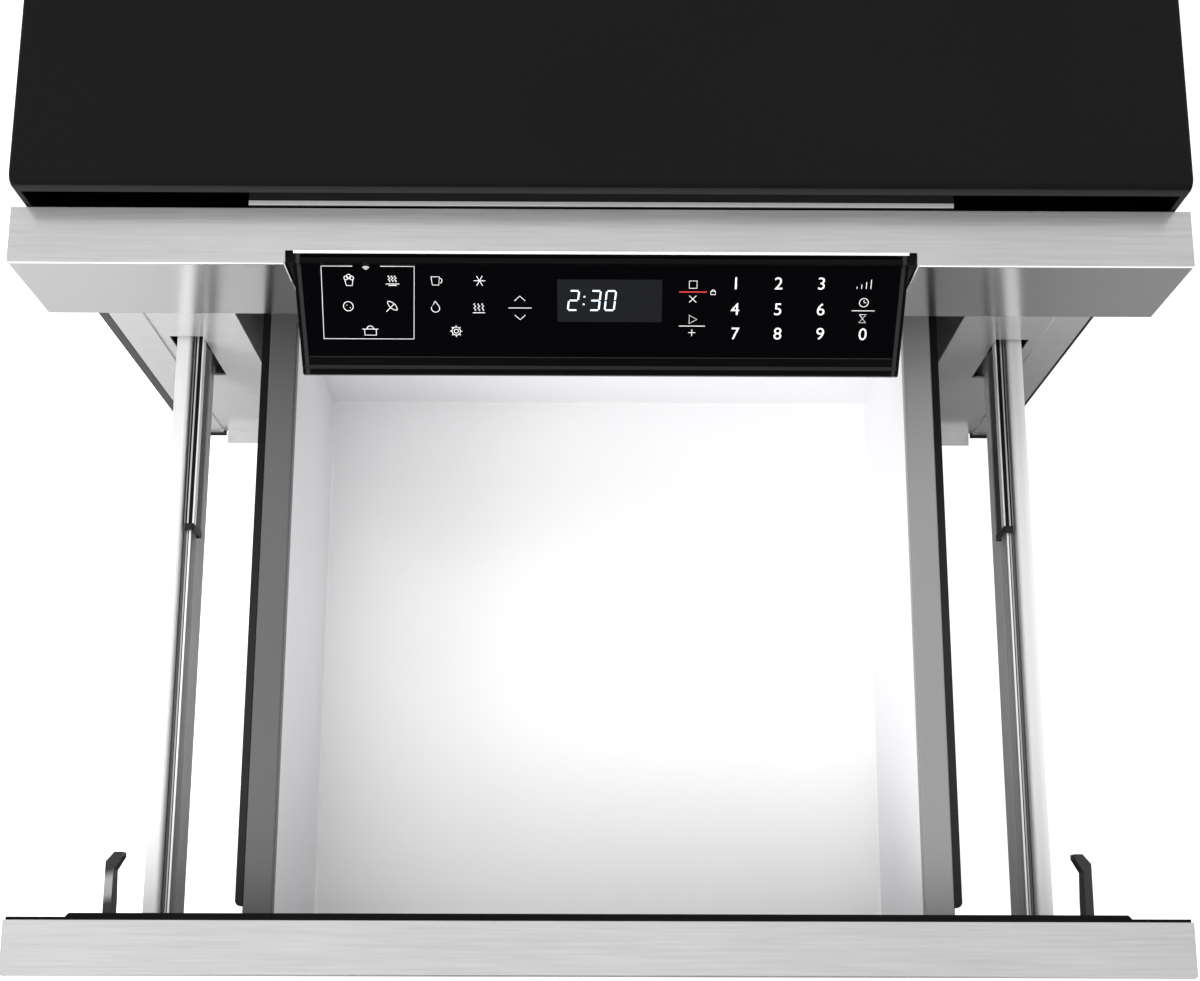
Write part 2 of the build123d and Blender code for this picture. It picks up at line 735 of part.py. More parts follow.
# ---- Runners ---------------------------------------------------------------------------
def channel(x_web, x_edge, height, y0, y1):
    """Slide member: web at x_web, lips turned towards x_edge."""
    step = 1 if x_edge > x_web else -1
    half = height / 2
    web = box(x_web, x_web + step * member_t, y0, y1, slide_z - half, slide_z + half)
    member = web
    for side in (-1, 1):
        z = slide_z + side * half
        member += box(x_web, x_edge, y0, y1, z, z - side * member_t)
    corners = edges_along(member, Axis.Y).filter_by_position(Axis.X, x_web - 0.01, x_web + 0.01)
    return fillet(corners, member_bend)


def slide_inner():
    return channel(rail_x, rail_x - member_d, member_h, door_back_y + 2, door_back_y + 2 + member_l)


def slide_middle():
    """Middle member with the stop tab at its front end."""
    edge = rail_x - member_t - race_gap
    front = -middle_front
    member = channel(middle_x, edge, middle_h, front, front + middle_l)
    low, high = slide_z + member_h / 2 + 1.2, slide_z + middle_h / 2 - member_t
    return member + box(middle_x + member_t, edge - 1.5, front, front + 3, low, high)


def slide_outer():
    return channel(outer_x(), rail_x - member_t - race_gap, outer_h, outer_front_y, outer_front_y + outer_l)


def outer_x():
    return middle_x - member_t - 2 * race_gap - 2.4


def ball(radius):
    """Ball with few faces, flat where it meets the sheets."""
    block = Box(2 * radius, 2 * radius, 2 * radius)
    return chamfer(block.edges(), radius * (1 - tan(pi / 8)))


def ball_cage(x_web, x_balls, low, high, y_mid):
    """Ball strip for both races of one pair of members.

    `low` and `high` are the half heights of the sheets that the balls run between.
    """
    radius = (high - low) / 2 - race_gap / 2
    track = (low + high) / 2
    strip = cage_t / 2
    y0, y1 = y_mid - cage_l / 2, y_mid + cage_l / 2
    cage = box(x_web - strip, x_web + strip, y0, y1, slide_z - track, slide_z + track)
    for side in (-1, 1):
        z = slide_z + side * track
        cage += box(x_web, x_balls + 1, y0, y1, z - strip, z + strip)
        for i in range(balls_per_race):
            y = y0 + 10 + i * (cage_l - 20) / (balls_per_race - 1)
            cage += Pos(x_balls, y, z) * ball(radius)
    return cage


def outer_cage():
    """Strip between the cabinet member and the middle one."""
    x_web = (outer_x() + member_t + middle_x) / 2
    y_mid = (outer_front_y + middle_l - middle_front) / 2
    return ball_cage(x_web, middle_x + member_t + 2, middle_h / 2, outer_h / 2 - member_t, y_mid)


def inner_cage():
    """Strip between the middle member and the drawer member."""
    x_web = (middle_x + member_t + rail_x - member_d) / 2
    y_mid = (door_back_y + 2 + member_l - middle_front) / 2
    return ball_cage(x_web, rail_x - member_t - 1.8, member_h / 2, middle_h / 2 - member_t, y_mid)


def side_rail():
    """C-section rail, open outwards, with a skirt and a foot screwed to the drawer front."""
    start, end = door_back_y, rail_tail
    edge = rail_x + rail_w
    outer = box(rail_x, edge, start, end, rail_bottom_z, rail_top_z)
    outer = fillet(edges_along(outer, Axis.Y).group_by(Axis.X)[0].sort_by(Axis.Z)[-1], rail_bend)
    low, high = rail_bottom_z + rail_t, rail_top_z - rail_t
    rail = outer - box(rail_x + rail_t, edge + 1, start + rail_t, end + 1, low, high)
    rail += box(rail_x, rail_x + rail_t, start, end, rail_skirt_z, rail_bottom_z)
    for x, z in rail_screw_places()[:2]:
        rail -= screw_hole(x, z, start - 1, start + rail_t + 1)
    return rail


def rail_screw_places():
    heights = (rail_bottom_z + rail_screw_rise, rail_top_z - rail_screw_rise)
    return [(side * rail_screw_x, z) for side in (1, -1) for z in heights]


def slide_bracket():
    """Upright that carries the cabinet member, with a foot on the base and a bore for the bush."""
    web = outer_x()
    start, end = outer_front_y, outer_front_y + outer_l
    plate = box(web - bracket_t, web, start, end, base_t, slide_z + outer_h / 2 + bracket_over)
    bracket = plate + box(web, web + bracket_foot, start, end, base_t, base_t + bracket_t)
    half = bracket_hole_l / 2
    for y in bracket_hole_ys:
        hole = box(web - 10, web + 10, y - half, y + half, bracket_hole_low, bracket_hole_high)
        bracket -= fillet(edges_along(hole, Axis.X), bracket_hole_corner)
    return bracket - rod(axle_r + bush_wall, (web - 30, pinion_y, axle_z), (web + 30, pinion_y, axle_z))


def shaft_bush():
    """Flanged bush pressed into the bracket."""
    web = outer_x()
    bush = rod(axle_r + bush_wall, (web - bush_w, pinion_y, axle_z), (web, pinion_y, axle_z))
    bush += rod(axle_r + bush_wall + 2.5, (web, pinion_y, axle_z), (web + 2, pinion_y, axle_z))
    return bush - rod(axle_r + shaft_run, (web - 30, pinion_y, axle_z), (web + 30, pinion_y, axle_z))


# ---- Rack drive ------------------------------------------------------------------------
def involute(angle):
    return tan(angle) - angle


def gear_outline(module, teeth, turn):
    """Points of a spur gear with involute flanks; one tooth is centred at `turn` radians."""
    pitch = module * teeth / 2
    base = pitch * cos(pressure)
    tip = pitch + addendum * module
    root = pitch - dedendum * module
    half = pi / (2 * teeth) - backlash / (2 * pitch)
    start = max(base, root)
    radii = [start, (start + tip) / 2, tip]
    offsets = [half + involute(pressure) - involute(acos(min(1, base / r))) for r in radii]
    flank = [(root, offsets[0])] + list(zip(radii, offsets)) if root < start else list(zip(radii, offsets))
    points = []
    for k in range(teeth):
        middle = turn + 2 * pi * k / teeth
        for r, off in flank:
            points.append((r * cos(middle - off), r * sin(middle - off)))
        for r, off in reversed(flank):
            points.append((r * cos(middle + off), r * sin(middle + off)))
    return points


def gear(module, teeth, turn, x, y, z, width, bore):
    """Spur gear on an axis along X, its teeth measured from +Y towards +Z."""
    wheel = prism(gear_outline(module, teeth, turn), Plane.YZ.offset(-width / 2), width)
    return Pos(x, y, z) * (wheel - rod(bore, (-width, 0, 0), (width, 0, 0)))


def drive_rack():
    """Rack under the rail, a tooth standing over the pinion when the drawer is open."""
    pitch = pi * rack_module
    count = int((pinion_y - door_back_y - rack_start) / pitch)
    tip = rack_z - addendum * rack_module
    root = rack_z + dedendum * rack_module
    half = pitch / 4 - backlash / 2
    tip_half = half - addendum * rack_module * tan(pressure)
    root_half = half + dedendum * rack_module * tan(pressure)
    back = pinion_y + 1.5 * pitch
    front = back - (count + 1) * pitch
    points = [(back, rail_bottom_z), (back, root)]
    for k in range(count + 1):
        y = back - (k + 0.5) * pitch
        points += [(y + root_half, root), (y + tip_half, tip), (y - tip_half, tip), (y - root_half, root)]
    points += [(front, root), (front, rail_bottom_z)]
    return across(points, rail_x + rack_set, rail_x + rack_set + rack_w)


def shaft_pinion():
    x = rail_x + rack_set + rack_w / 2
    turn = pi / 2 + pi / pinion_teeth
    wheel = gear(rack_module, pinion_teeth, turn, x, pinion_y, axle_z, pinion_w, axle_r)
    hub = rod(10, (x - pinion_w / 2 - 4, pinion_y, axle_z), (x - pinion_w / 2, pinion_y, axle_z))
    return wheel + (hub - rod(axle_r, (x - 20, pinion_y, axle_z), (x + 20, pinion_y, axle_z)))


def drive_shaft():
    end = rail_x + rack_set + rack_w / 2 + pinion_w / 2 + 3
    return rod(axle_r, (-end, pinion_y, axle_z), (end, pinion_y, axle_z))


def motor_place():
    """(y, z) of the motor's axis, one centre distance from the cross shaft."""
    centres = reduction_module * (reduction_teeth + motor_teeth) / 2
    drop = axle_z - motor_z
    return pinion_y + sqrt(centres ** 2 - drop ** 2), motor_z


def mesh_angle():
    y, z = motor_place()
    return acos((y - pinion_y) / hypot(y - pinion_y, z - axle_z)) * (-1 if z < axle_z else 1)


def shaft_gear():
    place = (reduction_x, pinion_y, axle_z)
    return gear(reduction_module, reduction_teeth, mesh_angle(), *place, reduction_w, axle_r)


def motor_pinion():
    """Small gear with its stub shaft into the motor."""
    y, z = motor_place()
    turn = mesh_angle() + pi + pi / motor_teeth
    wheel = gear(reduction_module, motor_teeth, turn, reduction_x, y, z, reduction_w + 1, motor_axle_r)
    start = reduction_x - reduction_w / 2 - motor_plate_t - 14
    return wheel + rod(motor_axle_r, (start, y, z), (reduction_x + reduction_w / 2 + 2, y, z))


def motor_face_x():
    return reduction_x - reduction_w / 2 - 2.5 - motor_plate_t


def drive_motor():
    y, z = motor_place()
    face = motor_face_x()
    box_l = 22
    motor = rod(motor_r, (face - box_l - motor_l, y, z), (face - box_l, y, z))
    motor = chamfer(motor.edges().group_by(Axis.X)[0], 3)
    motor += rod(motor_r + 2, (face - box_l, y, z), (face, y, z))
    return motor - rod(motor_axle_r + shaft_run, (face - 20, y, z), (face + 10, y, z))


def motor_bracket():
    """Upright between the motor and its gear, cut clear of the cross shaft."""
    y, z = motor_place()
    face = motor_face_x()
    plate = box(face, face + motor_plate_t, y - 34, y + 34, base_t, z + 30)
    plate += box(face - 18, face, y - 34, y + 34, base_t, base_t + motor_plate_t)
    plate -= box(face - 30, face, y - motor_r - 3, y + motor_r + 3, base_t + motor_plate_t, z + 60)
    plate -= rod(axle_r + 4, (face - 30, pinion_y, axle_z), (face + 30, pinion_y, axle_z))
    plate -= box(face - 5, face + 10, y - 40, pinion_y + 10, axle_z, axle_z + 60)
    return plate - rod(motor_axle_r + 2, (face - 30, y, z), (face + 30, y, z))


# ---- Latches ---------------------------------------------------------------------------
def latch_hook():
    """Flat hook behind the drawer front, its tip bent towards the middle."""
    start, tip = door_back_y, door_back_y + hook_l
    x0, x1 = hook_x - hook_w / 2, hook_x + hook_w / 2
    low, high = hook_top_z - hook_h, hook_top_z
    outline = [
        (x0, start), (x0, tip - hook_bend_l), (x0 - hook_bend, tip - 3), (x0 - hook_bend, tip),
        (x1 - hook_bend, tip), (x1, tip - hook_bend_l + hook_bend), (x1, start),
    ]
    arm = prism(outline, Plane.XY.offset(low), hook_h)
    rise = hook_h - hook_tip_h
    taper = [(start + hook_l / 4, low), (tip, low + rise), (tip, low - 1), (start + hook_l / 4, low - 1)]
    return arm - across(taper, x0 - 2 * hook_bend, x1 + 1)


def latch_housing():
    """Receiver behind the face plate, open to the front, with a cross pin for its lever."""
    half, wall = latch_slot_w / 2, latch_wall
    low, high = hook_z - latch_slot_h / 2 - lever_room, hook_z + latch_slot_h / 2
    back = plate_t + latch_box_l
    body = box(hook_x - half - wall, hook_x + half + wall, plate_t, back, low - wall, high + wall)
    body -= box(hook_x - half, hook_x + half, 0, back - wall, low, high)
    y, z = lever_y(), lever_z()
    return body + rod(pin_r, (hook_x - half - 1, y, z), (hook_x + half + 1, y, z))


def lever_y():
    return plate_t + latch_box_l - latch_wall - 8


def lever_z():
    return hook_z - latch_slot_h / 2 - 3


def latch_lever():
    """Rocker under the hook's path, on the receiver's pin."""
    y, z = lever_y(), lever_z()
    half = latch_slot_w / 2 - 3
    lever = box(hook_x - half, hook_x + half, y - lever_l, y, z - lever_t / 2, z + lever_t / 2)
    lever += rod(pin_r + 2.5, (hook_x - half, y, z), (hook_x + half, y, z))
    lever += box(hook_x - half, hook_x + half, y - lever_l, y - lever_l + 4, z, z + 5)
    return lever - rod(pin_r + shaft_run, (hook_x - 30, y, z), (hook_x + 30, y, z))


# ---- Drawer ----------------------------------------------------------------------------
def drawer_front():
    return folded_front(front_y, skin_back_y, door_bottom_z, door_top_z)


def door_frame():
    """Steel frame inside the folded front: a back sheet, edge returns and two stiffeners."""
    half = front_half - skin_t
    low, high = door_bottom_z + skin_t, door_top_z - skin_t
    near, far = front_y + skin_t, skin_back_y - frame_t
    sheet = box(-half, half, far, skin_back_y, low, high)
    reach = half - frame_rib_x
    for z in (low + frame_rib_z, high - frame_rib_z):
        sheet += box(-reach, reach, near, far, z, z + frame_t)
    for side in (-1, 1):
        x = side * (half - frame_rib_x)
        sheet += box(x, x + side * frame_t, near, far, low, high)
    for x, z in cover_screw_places() + rail_screw_places():
        sheet -= screw_hole(x, z, far - 1, skin_back_y + 1)
    return sheet


def door_trim():
    half = front_half - trim_inset
    trim = box(-half, half, skin_back_y, trim_back_y, door_bottom_z + trim_inset, door_top_z - trim_inset)
    trim = fillet(edges_along(trim, Axis.Y), 1.5)
    for x, z in cover_screw_places() + rail_screw_places():
        trim -= screw_hole(x, z, skin_back_y - 1, trim_back_y + 1)
    return trim


def choke_cover():
    """Dark moulding that faces the oven mouth, its ends chamfered."""
    half = choke_half
    low, high = choke_bottom_z, door_top_z - choke_inset
    tip, edge = half - choke_chamfer, trim_back_y + choke_edge
    outline = [(-half, trim_back_y), (half, trim_back_y), (half, edge)]
    outline += [(tip, door_back_y), (-tip, door_back_y), (-half, edge)]
    cover = prism(outline, Plane.XY.offset(low), high - low)
    for x, z in cover_screw_places() + rail_screw_places():
        cover -= screw_hole(x, z, trim_back_y - 1, door_back_y + 1)
    for x, z in cover_screw_places():
        cover -= rod(screw_r + 0.2, (x, door_back_y - sunk_head, z), (x, door_back_y + 1, z))
    return cover


def cover_screw_places():
    places = [(rail_x - cover_screw_in, z) for z in cover_screw_zs]
    places.append((tub_out + corner_screw_out, corner_screw_z))
    return [(side * x, z) for side in (-1, 1) for x, z in places]


def drawer_tub():
    """Folded tub: double walls open from below, a floor and a square interior."""
    low = tub_floor_z - tub_sheet
    top = tub_top_z - rim_h
    tub = box(-tub_out, tub_out, door_back_y, tub_end_y, low, top)
    tub = fillet(edges_along(tub, Axis.Z).group_by(Axis.Y)[-1], tub_corner)
    tub -= box(-tub_half, tub_half, door_back_y - 1, tub_back_y, tub_floor_z, top + 1)
    near, far = tub_half + tub_sheet, tub_out - tub_sheet
    under, roof = low - 1, top - tub_sheet
    back, end = tub_back_y + tub_sheet, tub_end_y - tub_sheet
    for side in (-1, 1):
        tub -= box(side * near, side * far, door_back_y + 3, end, under, roof)
    return tub - box(-far, far, back, end, under, roof)


def tub_rim():
    """Cap along the tops of the three walls."""
    low, high = tub_top_z - rim_h, tub_top_z
    cap = box(-tub_out, tub_out, door_back_y, tub_end_y, low, high)
    cap = fillet(edges_along(cap, Axis.Z).group_by(Axis.Y)[-1], tub_corner)
    cap -= box(-tub_half, tub_half, door_back_y - 1, tub_back_y, low - 1, high + 1)
    long_edges = cap.edges().filter_by(Axis.Y).group_by(Axis.Z)[-1]
    return fillet(long_edges, 1.5)


def seal_strip():
    start, end = door_back_y + seal_back, tub_end_y - 8
    strip = box(tub_out, tub_out + seal_w, start, end, tub_top_z - seal_h, tub_top_z)
    return fillet(strip.edges().filter_by(Axis.Z).group_by(Axis.X)[-1], 4)


def floor_tray():
    half = tub_half - tray_gap
    start, end = door_back_y + tray_gap, tub_back_y - tray_gap
    tray = box(-half, half, start, end, tub_floor_z, tub_floor_z + tray_t)
    tray = fillet(edges_along(tray, Axis.Z), tray_corner)
    return fillet(tray.edges().group_by(Axis.Z)[-1], 1)


def drawer_screws():
    """Screws that hold the choke cover and the feet of the rails."""
    seat, foot = door_back_y - sunk_head, door_back_y + rail_t
    screws = [screw(x, seat, z, (0, -1, 0), 5, sunk_head) for x, z in cover_screw_places()]
    return screws + [screw(x, foot, z, (0, -1, 0), 9, screw_head) for x, z in rail_screw_places()]


def chassis_screws():
    """Screws of the rear cover."""
    return [screw(x, case_d, z, (0, -1, 0), 6, screw_head) for x, z in rear_screws()]


parts = {
    "base_pan": base_pan(),
    "face_plate": face_plate(),
    "side_flanges": group(*both(side_flange())),
    "outer_case": outer_case(),
    "front_vent_panel": front_vent_panel(),
    "rear_cover": rear_cover(),
    "oven_cavity": oven_cavity(),
    "stirrer_cover": stirrer_cover(),
    "stirrer_motor": stirrer_motor(),
    "stirrer_fan": stirrer_fan(),
    "waveguide": waveguide(),
    "magnetron": magnetron(),
    "transformer_core": transformer_core(),
    "transformer_coil": transformer_coil(),
    "capacitor": capacitor(),
    "fan_housing": fan_housing(),
    "fan_motor": fan_motor(),
    "fan_blade": fan_blade(),
    "power_inlet": power_inlet(),
    "oven_lamp": oven_lamp(),
    "control_housing": control_housing(),
    "control_bezel": control_bezel(),
    "control_glass": control_glass(),
    "display_module": display_module(),
    "control_board": control_board(),
    "slide_brackets": group(*both(slide_bracket())),
    **sided("slide_outer", slide_outer()),
    **sided("slide_middle", slide_middle()),
    **sided("slide_inner", slide_inner()),
    "outer_cages": group(*both(outer_cage())),
    "inner_cages": group(*both(inner_cage())),
    **sided("side_rail", side_rail()),
    "shaft_bushes": group(*both(shaft_bush())),
    "drive_shaft": drive_shaft(),
    "shaft_pinions": group(*both(shaft_pinion())),
    "shaft_gear": shaft_gear(),
    "motor_pinion": motor_pinion(),
    "drive_motor": drive_motor(),
    "motor_bracket": motor_bracket(),
    **sided("drive_rack", drive_rack()),
    **sided("latch_housing", latch_housing()),
    **sided("latch_lever", latch_lever()),
    "latch_hooks": group(*both(latch_hook())),
    "drawer_front": drawer_front(),
    "door_frame": door_frame(),
    "door_trim": door_trim(),
    "choke_cover": choke_cover(),
    "drawer_tub": drawer_tub(),
    "tub_rim": tub_rim(),
    "seal_strips": group(*both(seal_strip())),
    "floor_tray": floor_tray(),
    "drawer_screws": group(*drawer_screws()),
    "chassis_screws": group(*chassis_screws()),
}

for name, shape in parts.items():
    export_step(shape, f"parts/{name}.step")
    print(f"{name}: {len(shape.solids())} solids, {shape.volume / 1000:.1f} cm3")
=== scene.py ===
import json
from math import cos, pi, radians, sin, tan

import bmesh
import bpy
from mathutils import Matrix, Vector


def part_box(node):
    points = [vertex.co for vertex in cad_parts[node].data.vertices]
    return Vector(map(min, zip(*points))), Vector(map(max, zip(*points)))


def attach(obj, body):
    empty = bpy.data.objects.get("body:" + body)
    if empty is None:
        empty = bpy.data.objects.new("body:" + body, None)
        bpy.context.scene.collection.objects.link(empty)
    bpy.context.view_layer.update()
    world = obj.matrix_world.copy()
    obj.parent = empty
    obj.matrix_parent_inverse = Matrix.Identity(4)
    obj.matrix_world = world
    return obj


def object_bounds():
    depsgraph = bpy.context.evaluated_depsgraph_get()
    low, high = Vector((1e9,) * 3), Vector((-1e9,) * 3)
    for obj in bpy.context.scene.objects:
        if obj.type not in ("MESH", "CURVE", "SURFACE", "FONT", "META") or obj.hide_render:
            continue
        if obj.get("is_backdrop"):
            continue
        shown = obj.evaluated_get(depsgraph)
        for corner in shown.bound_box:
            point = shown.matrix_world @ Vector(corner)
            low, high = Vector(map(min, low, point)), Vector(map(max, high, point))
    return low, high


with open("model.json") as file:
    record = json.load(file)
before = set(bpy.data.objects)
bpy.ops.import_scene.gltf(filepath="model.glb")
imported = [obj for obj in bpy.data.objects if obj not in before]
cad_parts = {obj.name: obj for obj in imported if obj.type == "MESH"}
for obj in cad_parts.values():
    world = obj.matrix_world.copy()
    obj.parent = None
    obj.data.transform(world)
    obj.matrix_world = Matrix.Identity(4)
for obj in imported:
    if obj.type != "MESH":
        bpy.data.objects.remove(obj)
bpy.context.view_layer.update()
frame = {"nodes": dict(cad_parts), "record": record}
scene = bpy.context.scene
mm = 0.001
print("frame loaded")

# view of the photograph
cameraSet = {
    "place": (-0.0048, -0.4784, 1.4615),
    "tilt": 12.75,          # degrees forward of straight down
    "pan": -1.113,
    "roll": 1.28,
    "lens": 50.16,
    "sensor": 36,
    "shiftY": 0.083,
    "near": 0.02,
    "far": 60,
}


def makeCamera(c):
    tilt, pan, roll = radians(c["tilt"]), radians(c["pan"]), radians(c["roll"])
    turned = Matrix.Rotation(pan, 3, "Z") @ Matrix.Rotation(tilt, 3, "X")
    turned = turned @ Matrix.Rotation(roll, 3, "Z")
    data = bpy.data.cameras.new("camera")
    data.lens, data.sensor_width, data.shift_y = c["lens"], c["sensor"], c["shiftY"]
    data.clip_start, data.clip_end = c["near"], c["far"]
    camera = bpy.data.objects.new("camera", data)
    camera.matrix_world = Matrix.Translation(c["place"]) @ turned.to_4x4()
    scene.collection.objects.link(camera)
    scene.camera = camera


makeCamera(cameraSet)

# studio
studio = {
    "sky": 0.86,            # brightness of the white room
    "flag": 0.03,           # and of the dark screen in front of it
    "flagWay": (0.0, -0.895, 0.445),
    "flagNear": 0.955,      # cosines at which the screen starts and is full
    "flagFull": 0.975,
    # the floor tone is darker to the right: a painted falloff of light
    "floorTones": (0.46, 0.27),     # left and right
    "floorSpan": (-0.25, 0.55),
    "floorGlow": 0.95,      # seen directly only, so the ground stays white
    "floorRough": 0.9,
    "floorGrain": 30,       # scale of its mottle
    "floorMottle": 0.04,    # and its share of the tone
    "floorSize": 60.0,
    "floorGap": 0.0006,
}
softLights = {
    "overhead": {"place": (-0.55, 0.15, 2.6), "aim": (0, -0.2, 0.3), "size": 2.4, "power": 29},
    "leftKey": {"place": (-1.15, -0.85, 1.15), "aim": (-0.1, -0.1, 0.42), "size": 0.7, "power": 11},
    "frontFill": {"place": (-0.7, -1.9, 1.75), "aim": (0, -0.2, 0.1), "size": 2.2, "power": 27},
}


def makeWorld(s):
    world = bpy.data.worlds.new("studioRoom")
    world.use_nodes = True
    scene.world = world
    tree = world.node_tree
    ground = tree.nodes["Background"]
    way = tree.nodes.new("ShaderNodeTexCoord")
    dot = tree.nodes.new("ShaderNodeVectorMath")
    dot.operation = "DOT_PRODUCT"
    dot.inputs[1].default_value = Vector(s["flagWay"]).normalized()
    shade = tree.nodes.new("ShaderNodeMapRange")
    shade.interpolation_type = "SMOOTHSTEP"
    shade.inputs["From Min"].default_value = s["flagNear"]
    shade.inputs["From Max"].default_value = s["flagFull"]
    shade.inputs["To Min"].default_value = s["sky"]
    shade.inputs["To Max"].default_value = s["flag"]
    tree.links.new(way.outputs["Generated"], dot.inputs[0])
    tree.links.new(dot.outputs["Value"], shade.inputs["Value"])
    tree.links.new(shade.outputs["Result"], ground.inputs["Strength"])
    ground.inputs["Color"].default_value = (1, 1, 1, 1)


def makeLight(name, s):
    data = bpy.data.lights.new(name, "AREA")
    data.shape, data.size, data.energy = "SQUARE", s["size"], s["power"]
    light = bpy.data.objects.new(name, data)
    place = Vector(s["place"])
    aim = (Vector(s["aim"]) - place).to_track_quat("-Z", "Y")
    light.matrix_world = Matrix.Translation(place) @ aim.to_matrix().to_4x4()
    light.visible_glossy = False
    scene.collection.objects.link(light)


makeWorld(studio)
for lightName, lightSet in softLights.items():
    makeLight(lightName, lightSet)
scene.view_settings.view_transform = "Standard"
print("camera and lights made")


# patterns that several finishes share
def newGroup(name, sockets, outputs):
    group = bpy.data.node_groups.new(name, "ShaderNodeTree")
    for label, kind, value in sockets:
        socket = group.interface.new_socket(label, in_out="INPUT", socket_type=kind)
        if value is not None:
            socket.default_value = value
    for label in outputs:
        group.interface.new_socket(label, in_out="OUTPUT", socket_type="NodeSocketFloat")
    start = group.nodes.new("NodeGroupInput")
    end = group.nodes.new("NodeGroupOutput")
    return group, start, end


def noiseIn(group, vector, scale, detail):
    noise = group.nodes.new("ShaderNodeTexNoise")
    noise.inputs["Scale"].default_value = scale
    noise.inputs["Detail"].default_value = detail
    group.links.new(vector, noise.inputs["Vector"])
    return noise.outputs["Fac"]


def blendIn(group, first, second, share):
    mix = group.nodes.new("ShaderNodeMix")
    mix.inputs["Factor"].default_value = share
    group.links.new(first, mix.inputs["A"])
    group.links.new(second, mix.inputs["B"])
    return mix.outputs["Result"]


patternInputs = [
    ("Vector", "NodeSocketVector", None),
    ("Stretch", "NodeSocketVector", (1, 1, 1)),
]
patternSets = {
    # brushed lines, long in one direction, over slow changes of tone
    "brushedGrain": {"detail": 5, "slowScale": 7, "slowDetail": 2, "slowShare": 0.35},
    # fine tooth of powder paint or moulded plastic
    "fineTooth": {"detail": 3, "slowScale": 5, "slowDetail": 3, "slowShare": 0.6},
    # zinc flowers of galvanised sheet
    "zincSpangle": {"slowScale": 6, "slowDetail": 3, "slowShare": 0.7},
}


def stretchedVector(group, start):
    grow = group.nodes.new("ShaderNodeVectorMath")
    grow.operation = "MULTIPLY"
    group.links.new(start.outputs["Vector"], grow.inputs[0])
    group.links.new(start.outputs["Stretch"], grow.inputs[1])
    return grow.outputs["Vector"]


def makeFineNoise(name):
    # fine noise that shapes the surface, and a slow one that only changes its tone
    s = patternSets[name]
    group, start, end = newGroup(name, patternInputs, ["Shade", "Height"])
    fine = noiseIn(group, stretchedVector(group, start), 1, s["detail"])
    slow = noiseIn(group, start.outputs["Vector"], s["slowScale"], s["slowDetail"])
    group.links.new(blendIn(group, fine, slow, s["slowShare"]), end.inputs["Shade"])
    group.links.new(fine, end.inputs["Height"])
    return group


def makeSpangle(name):
    s = patternSets[name]
    group, start, end = newGroup(name, patternInputs, ["Shade", "Height"])
    cells = group.nodes.new("ShaderNodeTexVoronoi")
    group.links.new(stretchedVector(group, start), cells.inputs["Vector"])
    cells.inputs["Scale"].default_value = 1
    tone = group.nodes.new("ShaderNodeSeparateColor")
    group.links.new(cells.outputs["Color"], tone.inputs["Color"])
    slow = noiseIn(group, start.outputs["Vector"], s["slowScale"], s["slowDetail"])
    group.links.new(blendIn(group, tone.outputs["Red"], slow, s["slowShare"]), end.inputs["Shade"])
    group.links.new(slow, end.inputs["Height"])
    return group


zoneLimits = ("Start", "Full", "Leave", "Gone")


def makeZone():
    # share of a zone that starts, is full, leaves and is gone at four places along one direction
    sockets = [("Vector", "NodeSocketVector", None), ("Along", "NodeSocketVector", (0, 0, 1))]
    sockets += [(label, "NodeSocketFloat", 0) for label in zoneLimits]
    group, start, end = newGroup("zoneMask", sockets, ["Share"])
    along = group.nodes.new("ShaderNodeVectorMath")
    along.operation = "DOT_PRODUCT"
    group.links.new(start.outputs["Vector"], along.inputs[0])
    group.links.new(start.outputs["Along"], along.inputs[1])
    share = group.nodes.new("ShaderNodeMath")
    share.operation = "SUBTRACT"
    for place, (low, high) in enumerate((zoneLimits[:2], zoneLimits[2:])):
        ramp = group.nodes.new("ShaderNodeMapRange")
        ramp.interpolation_type = "SMOOTHSTEP"
        group.links.new(along.outputs["Value"], ramp.inputs["Value"])
        group.links.new(start.outputs[low], ramp.inputs["From Min"])
        group.links.new(start.outputs[high], ramp.inputs["From Max"])
        group.links.new(ramp.outputs["Result"], share.inputs[place])
    group.links.new(share.outputs["Value"], end.inputs["Share"])
    return group


patterns = {
    "grain": makeFineNoise("brushedGrain"),
    "tooth": makeFineNoise("fineTooth"),
    "spangle": makeSpangle("zincSpangle"),
}
zoneMask = makeZone()

# directions of the zones; the last two tell the right rail and the left hook from their partners, so
# that only the right rail is painted lighter and only the left hook gets a painted highlight
ways = {
    "x": (1, 0, 0), "y": (0, 1, 0), "z": (0, 0, 1), "brow": (0, -1, 1),
    "rightRail": (1, 0, -1), "leftHook": (-0.2, 1, 20),
}


def zone(way, low, high, tone, soft=0.2, by="Folded", spread=0.1):
    # a tone of its own between two places, in mm or in parts of the normal; folded is the same
    # on the left and right
    size = 1 if by == "Normal" else mm
    span = [size * v for v in (low - soft, low + soft, high - soft, high + soft)]
    tones = [tone * (1 - spread)] * 3, [tone * (1 + spread)] * 3
    return {"along": ways[way], "span": span, "tones": tones, "by": by}


far = 9000                      # mm, past everything
